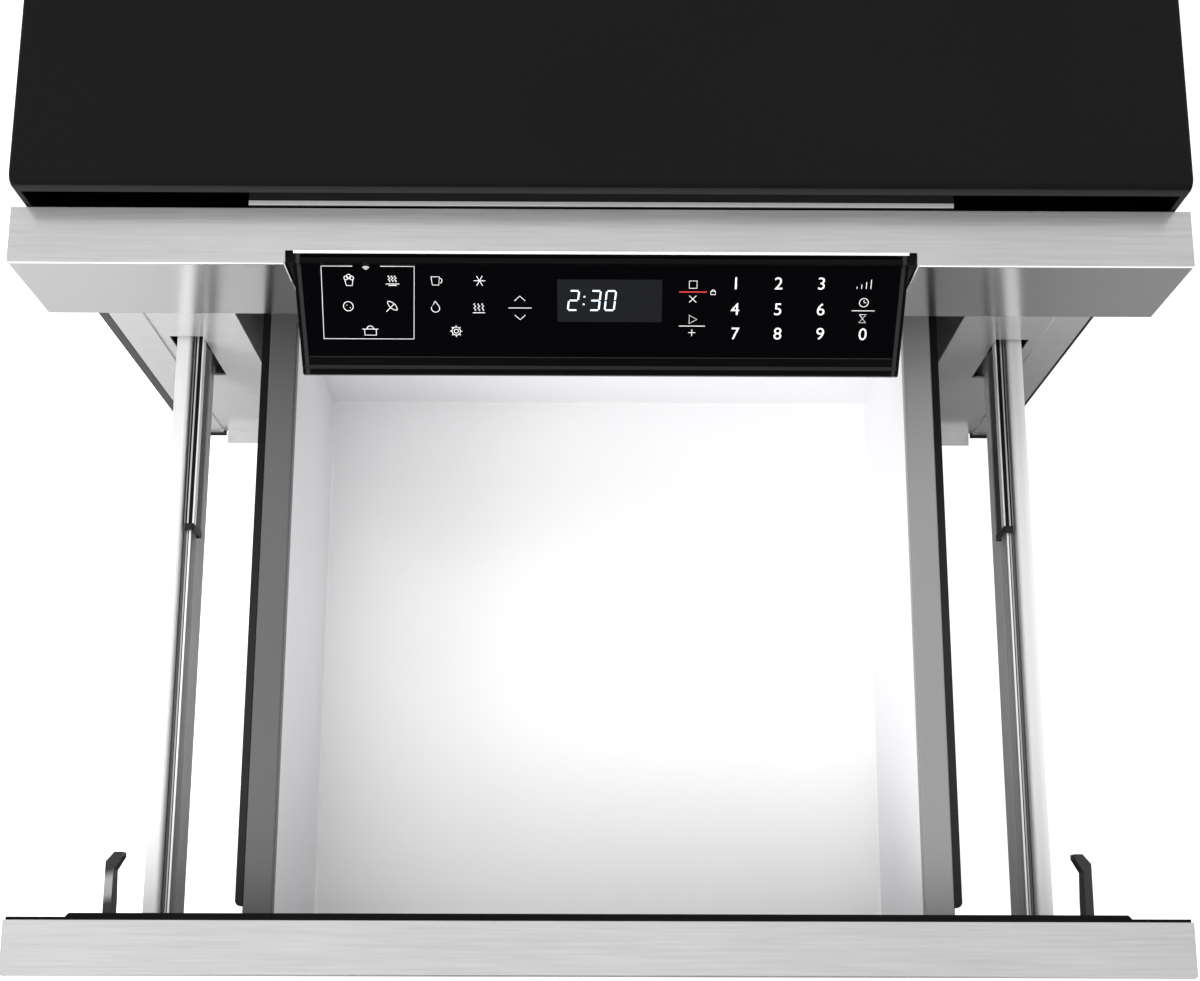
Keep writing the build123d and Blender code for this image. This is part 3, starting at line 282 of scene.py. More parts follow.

# one entry for each finish: two tones, two roughnesses, and the pattern that runs between them;
# the zones of the slides, rails and hooks hold the light and dark stripes that the photograph shows
# many zones below paint light: painted highlights, painted reflections and painted shade, each named
# where it stands
finishes = {
    "stainless_front": {
        "tones": ((0.68, 0.68, 0.675), (0.88, 0.88, 0.875)), "rough": (0.14, 0.22), "metallic": 1,
        "pattern": "grain", "stretch": (20, 700, 700), "bump": 0.08, "deep": 0.00006,
        "brushed": (0, 0.707, 0.707), "edge": 0.0006, "topMetal": 0.55,
        # painted shade: upward faces of the stainless front get a darker tone than its fronts
        "zones": [zone("z", 0.9, far, 0.48, 0.05, "Normal", 0.28)],
    },
    "black_case": {
        "tones": ((0.0022, 0.0022, 0.0023), (0.0045, 0.0045, 0.0046)), "rough": (0.40, 0.52),
        "specular": 0.11, "pattern": "tooth", "stretch": (900, 900, 900), "bump": 0.12, "deep": 0.0001,
        "zones": [
            # painted highlight: the front faces of the case are lighter
            zone("y", -far, 0.7, 0.022, 0.3, "Object"),
            # painted highlight: a thin light line along the top front edge
            zone("brow", 495.2, far, 0.13, 0.2, "Object"),
        ],
    },
    "galvanised_sheet": {
        "tones": ((0.72, 0.72, 0.715), (0.82, 0.82, 0.815)), "rough": (0.16, 0.26), "metallic": 0.6,
        "pattern": "spangle", "stretch": (110, 110, 110), "bump": 0.03, "deep": 0.0002,
    },
    "plate_sheet": {
        "tones": ((0.72, 0.72, 0.715), (0.82, 0.82, 0.815)), "rough": (0.16, 0.26), "metallic": 0.6,
        "pattern": "spangle", "stretch": (110, 110, 110), "bump": 0.03, "deep": 0.0002,
        # painted shade: above 461.2 mm the plate and flanges are near black, where the recess under
        # the case lies in shade
        "zones": [zone("z", 461.2, far, 0.001, 0.3)],
    },
    "dark_sheet": {
        "tones": ((0.010, 0.010, 0.010), (0.018, 0.018, 0.018)), "rough": (0.35, 0.5),
        "pattern": "tooth", "stretch": (900, 900, 900), "bump": 0.1, "deep": 0.0001,
    },
    "oven_lining": {
        "tones": ((0.44, 0.44, 0.45), (0.56, 0.56, 0.57)), "rough": (0.16, 0.26), "metallic": 0.7,
        "pattern": "tooth", "stretch": (300, 300, 300), "bump": 0.04, "deep": 0.0001,
    },
    "white_enamel": {
        "tones": ((0.86, 0.85, 0.87), (0.89, 0.88, 0.90)), "rough": (0.28, 0.38),
        "pattern": "tooth", "stretch": (160, 160, 160), "bump": 0.02, "deep": 0.0001,
    },
    "rim_paint": {
        "tones": ((0.085, 0.085, 0.088), (0.115, 0.115, 0.118)), "rough": (0.34, 0.46),
        "metallic": 0.3, "pattern": "tooth", "stretch": (500, 500, 500), "bump": 0.05, "deep": 0.0001,
        # painted light and shade: the right rim is lighter and the left darker
        "zones": [zone("x", 0, far, 0.25, 100, "Object")],
    },
    "black_moulding": {
        "tones": ((0.0015, 0.0015, 0.0016), (0.003, 0.003, 0.0032)), "rough": (0.28, 0.4),
        "specular": 0.09, "pattern": "tooth", "stretch": (1500, 1500, 1500), "bump": 0.08,
        "deep": 0.00005, "edge": 0.0004,
    },
    "bezel_black": {
        "tones": ((0.0012, 0.0012, 0.0013), (0.0024, 0.0024, 0.0026)), "rough": (0.24, 0.34),
        "specular": 0.07, "pattern": "tooth", "stretch": (1500, 1500, 1500), "bump": 0.08,
        "deep": 0.00005, "edge": 0.0004,
        # painted highlight: a light strip along each side of the glass
        "zones": [zone("x", 193.4, 195.8, 0.022)],
    },
    # painted highlight: light strips laid along edges and folds
    "bright_edge": {
        "tones": ((0.84, 0.84, 0.84), (0.92, 0.92, 0.92)), "rough": (0.3, 0.4), "metallic": 0.2,
        "pattern": "grain", "stretch": (9, 1500, 1500), "bump": 0.04, "deep": 0.00005,
    },
    # dimmer painted highlight, for the lower edge of the vent panel
    "dull_edge": {
        "tones": ((0.46, 0.46, 0.46), (0.54, 0.54, 0.54)), "rough": (0.3, 0.4), "metallic": 0.2,
        "pattern": "grain", "stretch": (9, 1500, 1500), "bump": 0.04, "deep": 0.00005,
    },
    "hook_plastic": {
        "tones": ((0.006, 0.006, 0.006), (0.012, 0.012, 0.012)), "rough": (0.12, 0.2),
        "specular": 0.6, "pattern": "tooth", "stretch": (1500, 1500, 1500), "bump": 0.08,
        "deep": 0.00005, "edge": 0.0004,
        # painted highlight on the top face of the left hook
        "zones": [zone("leftHook", 6112, 6128, 0.34, 4, "Object")],
    },
    "soft_black": {
        "tones": ((0.009, 0.009, 0.009), (0.015, 0.015, 0.015)), "rough": (0.3, 0.42), "specular": 0.2,
        "pattern": "tooth", "stretch": (1500, 1500, 1500), "bump": 0.08, "deep": 0.00005,
    },
    "edge_black": {
        "tones": ((0.060, 0.060, 0.060), (0.085, 0.085, 0.085)), "rough": (0.4, 0.5), "specular": 0.2,
        "pattern": "tooth", "stretch": (900, 900, 900), "bump": 0.1, "deep": 0.0001,
        # the grey middle is a painted highlight on the black case's left front edge; the strip is
        # darker along both its sides
        "zones": [zone("x", 0, 368.6, 0.012), zone("x", 374.5, far, 0.012)],
    },
    "seal_rubber": {
        "tones": ((0.003, 0.003, 0.003), (0.006, 0.006, 0.006)), "rough": (0.42, 0.55),
        "specular": 0.12, "pattern": "tooth", "stretch": (900, 900, 900), "bump": 0.1, "deep": 0.0001,
        # painted light: the seal strips are lighter towards the front of the drawer
        "zones": [zone("y", -far, -180, 0.015, 100, "Object")],
    },
    "console_glass": {
        "tones": ((0.0006, 0.0006, 0.0011), (0.0010, 0.0010, 0.0017)), "rough": (0.04, 0.07),
        "specular": 0.4, "pattern": "tooth", "stretch": (40, 40, 40), "bump": 0.01, "deep": 0.0001,
    },
    "display_window": {
        "tones": ((0.0075, 0.0080, 0.0090), (0.0105, 0.0110, 0.0125)), "rough": (0.2, 0.3),
        "specular": 0.15, "pattern": "tooth", "stretch": (600, 600, 600), "bump": 0.02, "deep": 0.0001,
    },
    "circuit_board": {
        "tones": ((0.010, 0.085, 0.035), (0.020, 0.13, 0.05)), "rough": (0.3, 0.45),
        "pattern": "spangle", "stretch": (350, 350, 350), "bump": 0.1, "deep": 0.0001,
    },
    "rail_steel": {
        "tones": ((0.70, 0.70, 0.70), (0.77, 0.77, 0.77)), "rough": (0.26, 0.38), "metallic": 0.2,
        "pattern": "grain", "stretch": (900, 6, 900), "bump": 0.03, "deep": 0.00006,
        # painted shade: the rails are darker below 224 mm; painted light: the right rail is lighter
        # than the left
        "zones": [zone("z", -far, 224, 0.42, 3), zone("rightRail", 94, far, 0.88, 3, "Object")],
    },
    # this finish and the next are painted chrome: near-black tones stand for dark reflections, and the
    # zones paint light stripes where bends catch the light
    "middle_chrome": {
        "tones": ((0.004, 0.004, 0.004), (0.014, 0.014, 0.014)), "rough": (0.10, 0.16),
        "metallic": 0.25, "pattern": "grain", "stretch": (1200, 8, 1200), "bump": 0.05,
        "deep": 0.00005, "edgeTint": 0.1,
        # painted reflections: stripes across the front edge; below 220.6 mm painted shade on the foot,
        # and below 206 mm a painted highlight on its lip
        "zones": [
            zone("x", 315.6, far, 0.22),
            zone("x", 313.2, 314.3, 0.52),
            zone("x", 308, 310.2, 0.97),
            zone("z", -far, 220.6, 0.008),
            zone("z", -far, 206.0, 0.30, 1.5),
        ],
    },
    "inner_chrome": {
        "tones": ((0.006, 0.006, 0.006), (0.020, 0.020, 0.020)), "rough": (0.10, 0.16),
        "metallic": 0.25, "pattern": "grain", "stretch": (1200, 8, 1200), "bump": 0.05,
        "deep": 0.00005, "edgeTint": 0.1,
        # painted reflections: light and dark stripes across the flats, and below 217 mm a painted
        # lighter band
        "zones": [
            zone("x", 315.7, 317.5, 0.13, 0.3),
            zone("x", 314.0, 315.2, 0.46),
            zone("x", 311, 313.3, 0.97),
            zone("z", -far, 217, 0.45),
        ],
    },
    "slide_chrome": {
        "tones": ((0.50, 0.50, 0.505), (0.62, 0.62, 0.625)), "rough": (0.10, 0.2), "metallic": 1,
        "pattern": "grain", "stretch": (1200, 8, 1200), "bump": 0.05, "deep": 0.00005,
    },
    "bright_steel": {
        "tones": ((0.52, 0.52, 0.53), (0.66, 0.66, 0.67)), "rough": (0.14, 0.26), "metallic": 1,
        "pattern": "grain", "stretch": (30, 1500, 1500), "bump": 0.05, "deep": 0.00005,
    },
    "white_acetal": {
        "tones": ((0.74, 0.74, 0.71), (0.80, 0.80, 0.77)), "rough": (0.35, 0.5),
        "pattern": "tooth", "stretch": (700, 700, 700), "bump": 0.05, "deep": 0.0001,
    },
    "bronze_bush": {
        "tones": ((0.42, 0.25, 0.09), (0.55, 0.34, 0.13)), "rough": (0.3, 0.45), "metallic": 1,
        "pattern": "tooth", "stretch": (1500, 1500, 1500), "bump": 0.15, "deep": 0.0001,
    },
    "floor_ceramic": {
        "tones": ((0.88, 0.88, 0.885), (0.90, 0.90, 0.905)), "rough": (0.16, 0.24),
        "pattern": "tooth", "stretch": (60, 60, 60), "bump": 0.01, "deep": 0.0001,
    },
    "stirrer_cover": {
        "tones": ((0.60, 0.56, 0.48), (0.72, 0.69, 0.61)), "rough": (0.45, 0.6),
        "pattern": "spangle", "stretch": (500, 500, 500), "bump": 0.1, "deep": 0.0001,
    },
    "fin_aluminium": {
        "tones": ((0.62, 0.62, 0.63), (0.74, 0.74, 0.75)), "rough": (0.25, 0.4), "metallic": 1,
        "pattern": "grain", "stretch": (20, 900, 900), "bump": 0.08, "deep": 0.0001,
    },
    "core_iron": {
        "tones": ((0.055, 0.055, 0.058), (0.16, 0.16, 0.165)), "rough": (0.4, 0.6), "metallic": 0.7,
        "pattern": "grain", "stretch": (8, 1300, 8), "bump": 0.35, "deep": 0.0003,
    },
    "coil_copper": {
        "tones": ((0.20, 0.07, 0.02), (0.46, 0.19, 0.07)), "rough": (0.25, 0.4), "metallic": 0.8,
        "pattern": "grain", "stretch": (6, 6, 900), "bump": 0.5, "deep": 0.0004,
    },
    "can_aluminium": {
        "tones": ((0.55, 0.55, 0.57), (0.68, 0.68, 0.70)), "rough": (0.2, 0.3), "metallic": 1,
        "pattern": "grain", "stretch": (8, 900, 900), "bump": 0.06, "deep": 0.0001,
    },
    "fan_plastic": {
        "tones": ((0.012, 0.012, 0.013), (0.022, 0.022, 0.023)), "rough": (0.4, 0.52),
        "pattern": "tooth", "stretch": (1200, 1200, 1200), "bump": 0.12, "deep": 0.0001,
    },
    "motor_steel": {
        "tones": ((0.30, 0.30, 0.30), (0.42, 0.42, 0.41)), "rough": (0.28, 0.42), "metallic": 0.9,
        "pattern": "spangle", "stretch": (260, 260, 260), "bump": 0.05, "deep": 0.0001,
    },
}
upwardShare = (0.85, 0.95, 8, 9)    # upright part of a normal: starts, full, and two never reached
brushSpread = 0.8                   # how far reflections spread across brushed lines
edgeSamples = 4                     # rays that look for an edge to soften


def toneBetween(tree, tones, share):
    tone = tree.nodes.new("ShaderNodeMix")
    tone.data_type = "RGBA"
    tone.inputs["A"].default_value = (*tones[0], 1)
    tone.inputs["B"].default_value = (*tones[1], 1)
    tree.links.new(share, tone.inputs["Factor"])
    return tone.outputs["Result"]


def makeFinish(name, f):
    finish = bpy.data.materials.new(name)
    finish.use_nodes = True
    tree = finish.node_tree
    shader = tree.nodes["Principled BSDF"]
    shader.inputs["Metallic"].default_value = f.get("metallic", 0)
    shader.inputs["Specular IOR Level"].default_value = f.get("specular", 0.5)
    coords = tree.nodes.new("ShaderNodeTexCoord")
    pattern = tree.nodes.new("ShaderNodeGroup")
    pattern.node_tree = patterns[f["pattern"]]
    pattern.inputs["Stretch"].default_value = f["stretch"]
    tree.links.new(coords.outputs["Object"], pattern.inputs["Vector"])
    colour = toneBetween(tree, f["tones"], pattern.outputs["Shade"])
    folded = tree.nodes.new("ShaderNodeVectorMath")
    folded.operation = "ABSOLUTE"
    tree.links.new(coords.outputs["Object"], folded.inputs[0])
    for part in f.get("zones", []):
        mask = tree.nodes.new("ShaderNodeGroup")
        mask.node_tree = zoneMask
        place = folded.outputs["Vector"] if part["by"] == "Folded" else coords.outputs[part["by"]]
        tree.links.new(place, mask.inputs["Vector"])
        mask.inputs["Along"].default_value = part["along"]
        for label, value in zip(zoneLimits, part["span"]):
            mask.inputs[label].default_value = value
        other = toneBetween(tree, part["tones"], pattern.outputs["Shade"])
        both = tree.nodes.new("ShaderNodeMix")
        both.data_type = "RGBA"
        tree.links.new(mask.outputs["Share"], both.inputs["Factor"])
        tree.links.new(colour, both.inputs["A"])
        tree.links.new(other, both.inputs["B"])
        colour = both.outputs["Result"]
    tree.links.new(colour, shader.inputs["Base Color"])
    rough = tree.nodes.new("ShaderNodeMapRange")
    rough.inputs["To Min"].default_value, rough.inputs["To Max"].default_value = f["rough"]
    tree.links.new(pattern.outputs["Shade"], rough.inputs["Value"])
    tree.links.new(rough.outputs["Result"], shader.inputs["Roughness"])
    bump = tree.nodes.new("ShaderNodeBump")
    bump.inputs["Strength"].default_value = f["bump"]
    bump.inputs["Distance"].default_value = f["deep"]
    tree.links.new(pattern.outputs["Height"], bump.inputs["Height"])
    tree.links.new(bump.outputs["Normal"], shader.inputs["Normal"])
    if "topMetal" in f:
        # upward faces reflect less of the room
        upward = tree.nodes.new("ShaderNodeGroup")
        upward.node_tree = zoneMask
        upward.inputs["Along"].default_value = ways["z"]
        for label, value in zip(zoneLimits, upwardShare):
            upward.inputs[label].default_value = value
        metal = tree.nodes.new("ShaderNodeMapRange")
        metal.inputs["To Min"].default_value, metal.inputs["To Max"].default_value = 1, f["topMetal"]
        tree.links.new(coords.outputs["Normal"], upward.inputs["Vector"])
        tree.links.new(upward.outputs["Share"], metal.inputs["Value"])
        tree.links.new(metal.outputs["Result"], shader.inputs["Metallic"])
    if "edgeTint" in f:
        shader.inputs["Specular Tint"].default_value = (*[f["edgeTint"]] * 3, 1)
    if "edge" in f:
        edge = tree.nodes.new("ShaderNodeBevel")
        edge.samples = edgeSamples
        edge.inputs["Radius"].default_value = f["edge"]
        tree.links.new(edge.outputs["Normal"], bump.inputs["Normal"])
    if "brushed" in f:
        # reflections spread across the brushed lines
        across = tree.nodes.new("ShaderNodeCombineXYZ")
        across.inputs["X"].default_value, across.inputs["Y"].default_value = f["brushed"][:2]
        across.inputs["Z"].default_value = f["brushed"][2]
        tree.links.new(across.outputs["Vector"], shader.inputs["Tangent"])
        shader.inputs["Anisotropic"].default_value = brushSpread
    return finish


made = {name: makeFinish(name, values) for name, values in finishes.items()}


def dressNode(name, finish):
    piece = frame["nodes"][name]
    if not piece.material_slots:
        piece.data.materials.append(finish)
    for place in piece.material_slots:
        place.material = finish


# nodes that look unlike others with the same material slot; most of these finishes hold painted light:
# painted shade on the plate's top ledge, painted highlights on the bezel and the left hook, and
# painted reflections on the slides
ownFinish = {
    "face_plate": "plate_sheet", "side_flanges": "plate_sheet", "control_bezel": "bezel_black",
    "slide_middle_left": "middle_chrome", "slide_middle_right": "middle_chrome",
    "slide_inner_left": "inner_chrome", "slide_inner_right": "inner_chrome",
    "latch_hooks": "hook_plastic",
}
for part in frame["record"]["subparts"]:
    dressNode(part["node"], made[ownFinish.get(part["node"], part["material_slot"])])
print("finishes on", len(frame["nodes"]), "nodes")


# small tools for new pieces
def addPiece(name, bm, finish, body):
    mesh = bpy.data.meshes.new(name)
    bm.to_mesh(mesh)
    bm.free()
    mesh.materials.append(finish)
    piece = bpy.data.objects.new(name, mesh)
    scene.collection.objects.link(piece)
    if body:
        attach(piece, body)
    return piece


def arcPoints(x, y, radius, start, end, steps=10):
    turns = [radians(start + (end - start) * i / steps) for i in range(steps + 1)]
    return [(x + radius * cos(a), y + radius * sin(a)) for a in turns]


# white marks printed on the console glass
console = {
    "back": 31.0,           # mm, top edge in front of the face plate
    "top": 465.0,
    "tilt": 43.0,
    "ink": 0.03,            # half the thickness of the print
    "lift": 0.01,           # its middle over the glass
    "stroke": 0.55,         # its line width
    "numeral": 8.6,         # height of a numeral
    "capital": 0.73,        # share of the font's size that a numeral fills
    "curveSteps": 4,
    "ringPoints": 16,
    "steamSteps": 8,
    "steamSwing": 0.7,
    "red": {"half": 9, "stroke": 0.9, "x": 59.5, "s": 26.6},    # line between two keys
}


def onConsole(x, s, lift=console["lift"]):
    # matrix that lays a mark, drawn in mm on XY, on the sloping glass
    tilt = radians(console["tilt"])
    up = Vector((0, cos(tilt), sin(tilt)))
    out = Vector((0, -sin(tilt), cos(tilt)))
    start = Vector((x, -console["back"], console["top"])) - up * s + out * lift
    place = Matrix((Vector((1, 0, 0)), up, out)).transposed().to_4x4()
    return Matrix.Scale(mm, 4) @ Matrix.Translation(start) @ place


def takeMesh(drawn):
    # mesh of a curve or a text, which is then removed
    scene.collection.objects.link(drawn)
    bpy.context.view_layer.update()
    mesh = bpy.data.meshes.new_from_object(drawn.evaluated_get(bpy.context.evaluated_depsgraph_get()))
    bpy.data.objects.remove(drawn)
    return mesh


def strokeMesh(lines, width):
    curve = bpy.data.curves.new("strokes", "CURVE")
    curve.dimensions = "3D"
    curve.bevel_depth, curve.bevel_resolution, curve.use_fill_caps = width / 2, 0, True
    for points, closed in lines:
        spline = curve.splines.new("POLY")
        spline.points.add(len(points) - 1)
        for target, (x, y) in zip(spline.points, points):
            target.co = (x, y, 0, 1)
        spline.use_cyclic_u = closed
    mesh = takeMesh(bpy.data.objects.new("strokes", curve))
    mesh.transform(Matrix.Diagonal((1, 1, 2 * console["ink"] / width, 1)))
    return mesh


def letterMesh(text, height):
    data = bpy.data.curves.new("numeral", "FONT")
    data.body, data.size, data.extrude = text, height / console["capital"], console["ink"]
    data.align_x, data.align_y = "CENTER", "CENTER"
    data.resolution_u = console["curveSteps"]
    return takeMesh(bpy.data.objects.new("numeral", data))


def addMark(bm, mesh, x, s, lift=console["lift"]):
    mesh.transform(onConsole(x, s, lift))
    bm.from_mesh(mesh)
    bpy.data.meshes.remove(mesh)


def line(*points):
    return (points, False)


def loop(*points):
    return (points, True)


def ring(x, y, radius):
    points = console["ringPoints"]
    return loop(*arcPoints(x, y, radius, 0, 360 - 360 / points, points - 1))


def steam(x, low, high):
    steps, swing = console["steamSteps"], console["steamSwing"]
    rise = (high - low) / steps
    return line(*[(x + swing * sin(i * pi / 2), low + i * rise) for i in range(steps + 1)])


def rays(count, inner, outer):
    turns = [2 * pi * i / count for i in range(count)]
    return [line((inner * cos(a), inner * sin(a)), (outer * cos(a), outer * sin(a))) for a in turns]


# plain signs for what each key does, in mm about the middle of the key
keySigns = {
    "puffs": ((-163, 19.6), [
        line((-2.6, 0.4), (-1.9, -3.6), (1.9, -3.6), (2.6, 0.4)),
        ring(-1.8, 1.6, 1.3), ring(1.8, 1.6, 1.3), ring(0, 2.6, 1.4)]),
    "reheat": ((-135, 19.6), [
        line((-4.4, -2.4), (4.4, -2.4)), line((-2.6, -3.4), (2.6, -3.4)),
        steam(-2, -1, 3.2), steam(0, -1, 3.2), steam(2, -1, 3.2)]),
    "tuber": ((-164.6, 37.3), [
        ring(0, 0, 3.2), line((-1.2, 0.8), (-0.6, 0.8)), line((0.9, -0.9), (1.5, -0.9))]),
    "leaf": ((-136.4, 37.3), [
        line(*arcPoints(-2.6, -2.6, 6.2, 2, 88)), line(*arcPoints(3.6, 3.6, 6.2, 182, 268)),
        line((-3.6, -3.6), (1.6, 1.6))]),
    "pot": ((-151.3, 54.2), [
        line((-3.8, 1.2), (-3.8, -3), (3.8, -3), (3.8, 1.2)), line((-5.2, 1.2), (5.2, 1.2)),
        line(*arcPoints(0, 1.2, 2.2, 0, 180))]),
    "cup": ((-106.9, 19.6), [
        line((-3, 2.6), (-2.4, -3), (1.8, -3), (2.4, 2.6), (-3, 2.6)),
        line(*arcPoints(2.3, 0, 1.7, -75, 75))]),
    "frost": ((-78.7, 19.6), rays(6, 0, 3.8)),
    "drop": ((-107.9, 37.6), [
        line((0, 4), (-2.3, 0.6), *arcPoints(0, -0.8, 2.7, 148, 392, 12), (0, 4))]),
    "warm": ((-79.7, 38.0), [
        steam(-2.6, -2, 3), steam(0, -2, 3), steam(2.6, -2, 3), line((-4, -3.4), (4, -3.4))]),
    "cog": ((-95, 54.2), [ring(0, 0, 1.4), ring(0, 0, 2.8)] + rays(8, 2.8, 4)),
    "open": ((-52.9, 31.5), [line((-3.4, -1.6), (0, 1.6), (3.4, -1.6))]),
    "between": ((-52.9, 38.0), [line((-7.5, 0), (7.5, 0))]),
    "close": ((-52.9, 44.5), [line((-3.4, 1.6), (0, -1.6), (3.4, 1.6))]),
    "stop": ((59.5, 21.6), [loop((-2.5, -2.5), (2.5, -2.5), (2.5, 2.5), (-2.5, 2.5))]),
    "clear": ((59.5, 31.4), [line((-2.3, -2.3), (2.3, 2.3)), line((-2.3, 2.3), (2.3, -2.3))]),
    "start": ((59.6, 45.4), [loop((-2.0, -2.9), (3.0, 0), (-2.0, 2.9))]),
    "startLine": ((59.6, 50.0), [line((-8.5, 0), (8.5, 0))]),
    "more": ((59.6, 54.6), [line((-2.3, 0), (2.3, 0)), line((0, -2.3), (0, 2.3))]),
    "level": ((170.2, 21.0), [
        line((-4.5 + 3 * i, -3), (-4.5 + 3 * i, -1.6 + 1.6 * i)) for i in range(4)]),
    "timer": ((171.0, 33.4), [ring(0, 0, 2.9), line((0, 1.8), (0, 0), (1.5, 0))]),
    "timerLine": ((171.0, 39.0), [line((-7.5, 0), (7.5, 0))]),
    "clock": ((171.0, 44.4), [
        line((-2.2, 2.8), (2.2, 2.8), (-2.2, -2.8), (2.2, -2.8), (-2.2, 2.8))]),
    "lock": ((72.6, 26.4), [
        loop((-1.5, -1.9), (1.5, -1.9), (1.5, 0.3), (-1.5, 0.3)),
        line(*arcPoints(0, 0.3, 1.0, 0, 180))]),
    "sensing": ((-151.6, 11.3), [line(*arcPoints(0, -1.6, r, 40, 140)) for r in (0.9, 1.8, 2.7)]),
    "frameLeft": ((-180.3, 10.1), [
        line((20, 0), (0, 0), (-1.9, -49.7), (57.3, -49.7), (59.9, 0), (38, 0))]),
}
numerals = {
    "1": (87.1, 21.0), "2": (114.8, 21.0), "3": (142.6, 21.0),
    "4": (87.4, 38.6), "5": (115.3, 38.6), "6": (143.2, 38.6),
    "7": (88.0, 55.5), "8": (116.0, 55.5), "9": (144.0, 55.5),
    "0": (172.0, 55.7),
}
inks = {
    # the white and red print glow faintly though print gives no light: painted light; the clock's glow
    # is its display's own light
    "white_ink": {"colour": (0.80, 0.80, 0.80), "glow": 0.25},
    "red_ink": {"colour": (0.62, 0.03, 0.03), "glow": 0.25},
    "clock_glow": {"colour": (0.74, 0.86, 0.95), "glow": 0.9},
}
inkRough = 0.5
inkGrain = 1400
inkDim = 0.93                   # darkest share of the colour


def makeInk(name, s):
    ink = bpy.data.materials.new(name)
    ink.use_nodes = True
    tree = ink.node_tree
    shader = tree.nodes["Principled BSDF"]
    shader.inputs["Roughness"].default_value = inkRough
    shader.inputs["Emission Strength"].default_value = s["glow"]
    coords = tree.nodes.new("ShaderNodeTexCoord")
    noise = tree.nodes.new("ShaderNodeTexNoise")
    noise.inputs["Scale"].default_value = inkGrain
    tone = tree.nodes.new("ShaderNodeMix")
    tone.data_type = "RGBA"
    tone.inputs["A"].default_value = (*[c * inkDim for c in s["colour"]], 1)
    tone.inputs["B"].default_value = (*s["colour"], 1)
    tree.links.new(coords.outputs["Object"], noise.inputs["Vector"])
    tree.links.new(noise.outputs["Fac"], tone.inputs["Factor"])
    tree.links.new(tone.outputs["Result"], shader.inputs["Base Color"])
    tree.links.new(tone.outputs["Result"], shader.inputs["Emission Color"])
    return ink


made.update({name: makeInk(name, values) for name, values in inks.items()})


def makeConsoleMarks(c):
    bm = bmesh.new()
    for (x, s), lines in keySigns.values():
        addMark(bm, strokeMesh(lines, c["stroke"]), x, s)
    for text, (x, s) in numerals.items():
        addMark(bm, letterMesh(text, c["numeral"]), x, s)
    addPiece("console_marks", bm, made["white_ink"], "chassis")
    bm = bmesh.new()
    red = c["red"]
    under = line((-red["half"], 0), (red["half"], 0))
    addMark(bm, strokeMesh([under], red["stroke"]), red["x"], red["s"])
    addPiece("stop_underline", bm, made["red_ink"], "chassis")


# seven-segment clock
clock = {
    "x": -5.3, "s": 32.7,   # middle of the figures
    "height": 13.2,
    "width": 6.0,
    "pitch": 9.4,
    "gap": 0.5,             # from the end of a segment to the corner
    "stroke": 1.15,
    "lean": 6.0,            # degrees
    "lift": 0.06,           # their middle over the glass, level with the top of the pane
    "figures": (("2", -1.35), ("3", 0.15), ("0", 1.2)),     # and their places, in pitches
    "colon": {"at": -0.62, "dots": (-2.6, 2.6), "half": 0.5},
}
segmentSets = {"2": "abged", "3": "abgcd", "0": "abcdef"}


def makeClock(c):
    w, h, gap, colon = c["width"] / 2, c["height"] / 2, c["gap"], c["colon"]
    lean = tan(radians(c["lean"]))
    segments = {
        "a": ((-w + gap, h), (w - gap, h)),
        "b": ((w, h - gap), (w, gap)),
        "c": ((w, -gap), (w, -h + gap)),
        "d": ((-w + gap, -h), (w - gap, -h)),
        "e": ((-w, -gap), (-w, -h + gap)),
        "f": ((-w, h - gap), (-w, gap)),
        "g": ((-w + gap, 0), (w - gap, 0)),
    }
    lines = []
    for text, shift in c["figures"]:
        middle = shift * c["pitch"]
        for key in segmentSets[text]:
            lines.append(line(*[(x + middle + y * lean, y) for x, y in segments[key]]))
    for y in colon["dots"]:
        middle = colon["at"] * c["pitch"] + y * lean
        lines.append(line((middle, y - colon["half"]), (middle, y + colon["half"])))
    bm = bmesh.new()
    addMark(bm, strokeMesh(lines, c["stroke"]), c["x"], c["s"], c["lift"])
    addPiece("clock_figures", bm, made["clock_glow"], "chassis")


makeConsoleMarks(console)
makeClock(clock)
print("console marks made")

# thin trims, in mm; s runs down the console's slope, and the fold and cut lines are mirrored
# all but the display pane are thin strips whose lighter tones are painted highlights
trims = {
    "consoleEdge": {"x": 197.4, "s": (-0.4, 1.5), "lift": 0.30, "round": 0.12},
    "glassBead": {"x": 192.6, "s": (72.1, 72.8), "lift": 0.10, "round": 0.04},
    "noseLine": {"x": 196.5, "s": (78.4, 81.0), "lift": 0.08, "round": 0.03},
    "displayPane": {"x": 34.0, "middle": 5.5, "s": (18.4, 47.4), "lift": 0.05, "round": 0.02},
    "ventEdge": {"x": (-226.8, 226.8), "y": (-0.4, 2.6), "z": (466.5, 467.4), "round": 0.2},
    "caseEdge": {"x": (-375.3, -367.8), "y": (-1.1, -0.1), "z": (3.0, 462.0), "round": 0.3},
    "foldLine": {"x": (203.4, 379.6), "y": (-40.2, -39.3), "z": (464.4, 465.2), "round": 0.2},
    "cutLine": {"x": (202.3, 203.1), "y": (-40.2, -39.6), "z": (437.0, 464.4), "round": 0.15},
}


def roundedBox(low, high, radius):
    bm = bmesh.new()
    bmesh.ops.create_cube(bm, size=1)
    size = [h - l for l, h in zip(low, high)]
    middle = Vector([(l + h) / 2 for l, h in zip(low, high)])
    bmesh.ops.scale(bm, vec=size, verts=bm.verts)
    bmesh.ops.translate(bm, vec=middle, verts=bm.verts)
    bmesh.ops.bevel(bm, geom=bm.edges[:], offset=radius, affect="EDGES", segments=2, profile=0.5,
                    material=-1)
    return bm


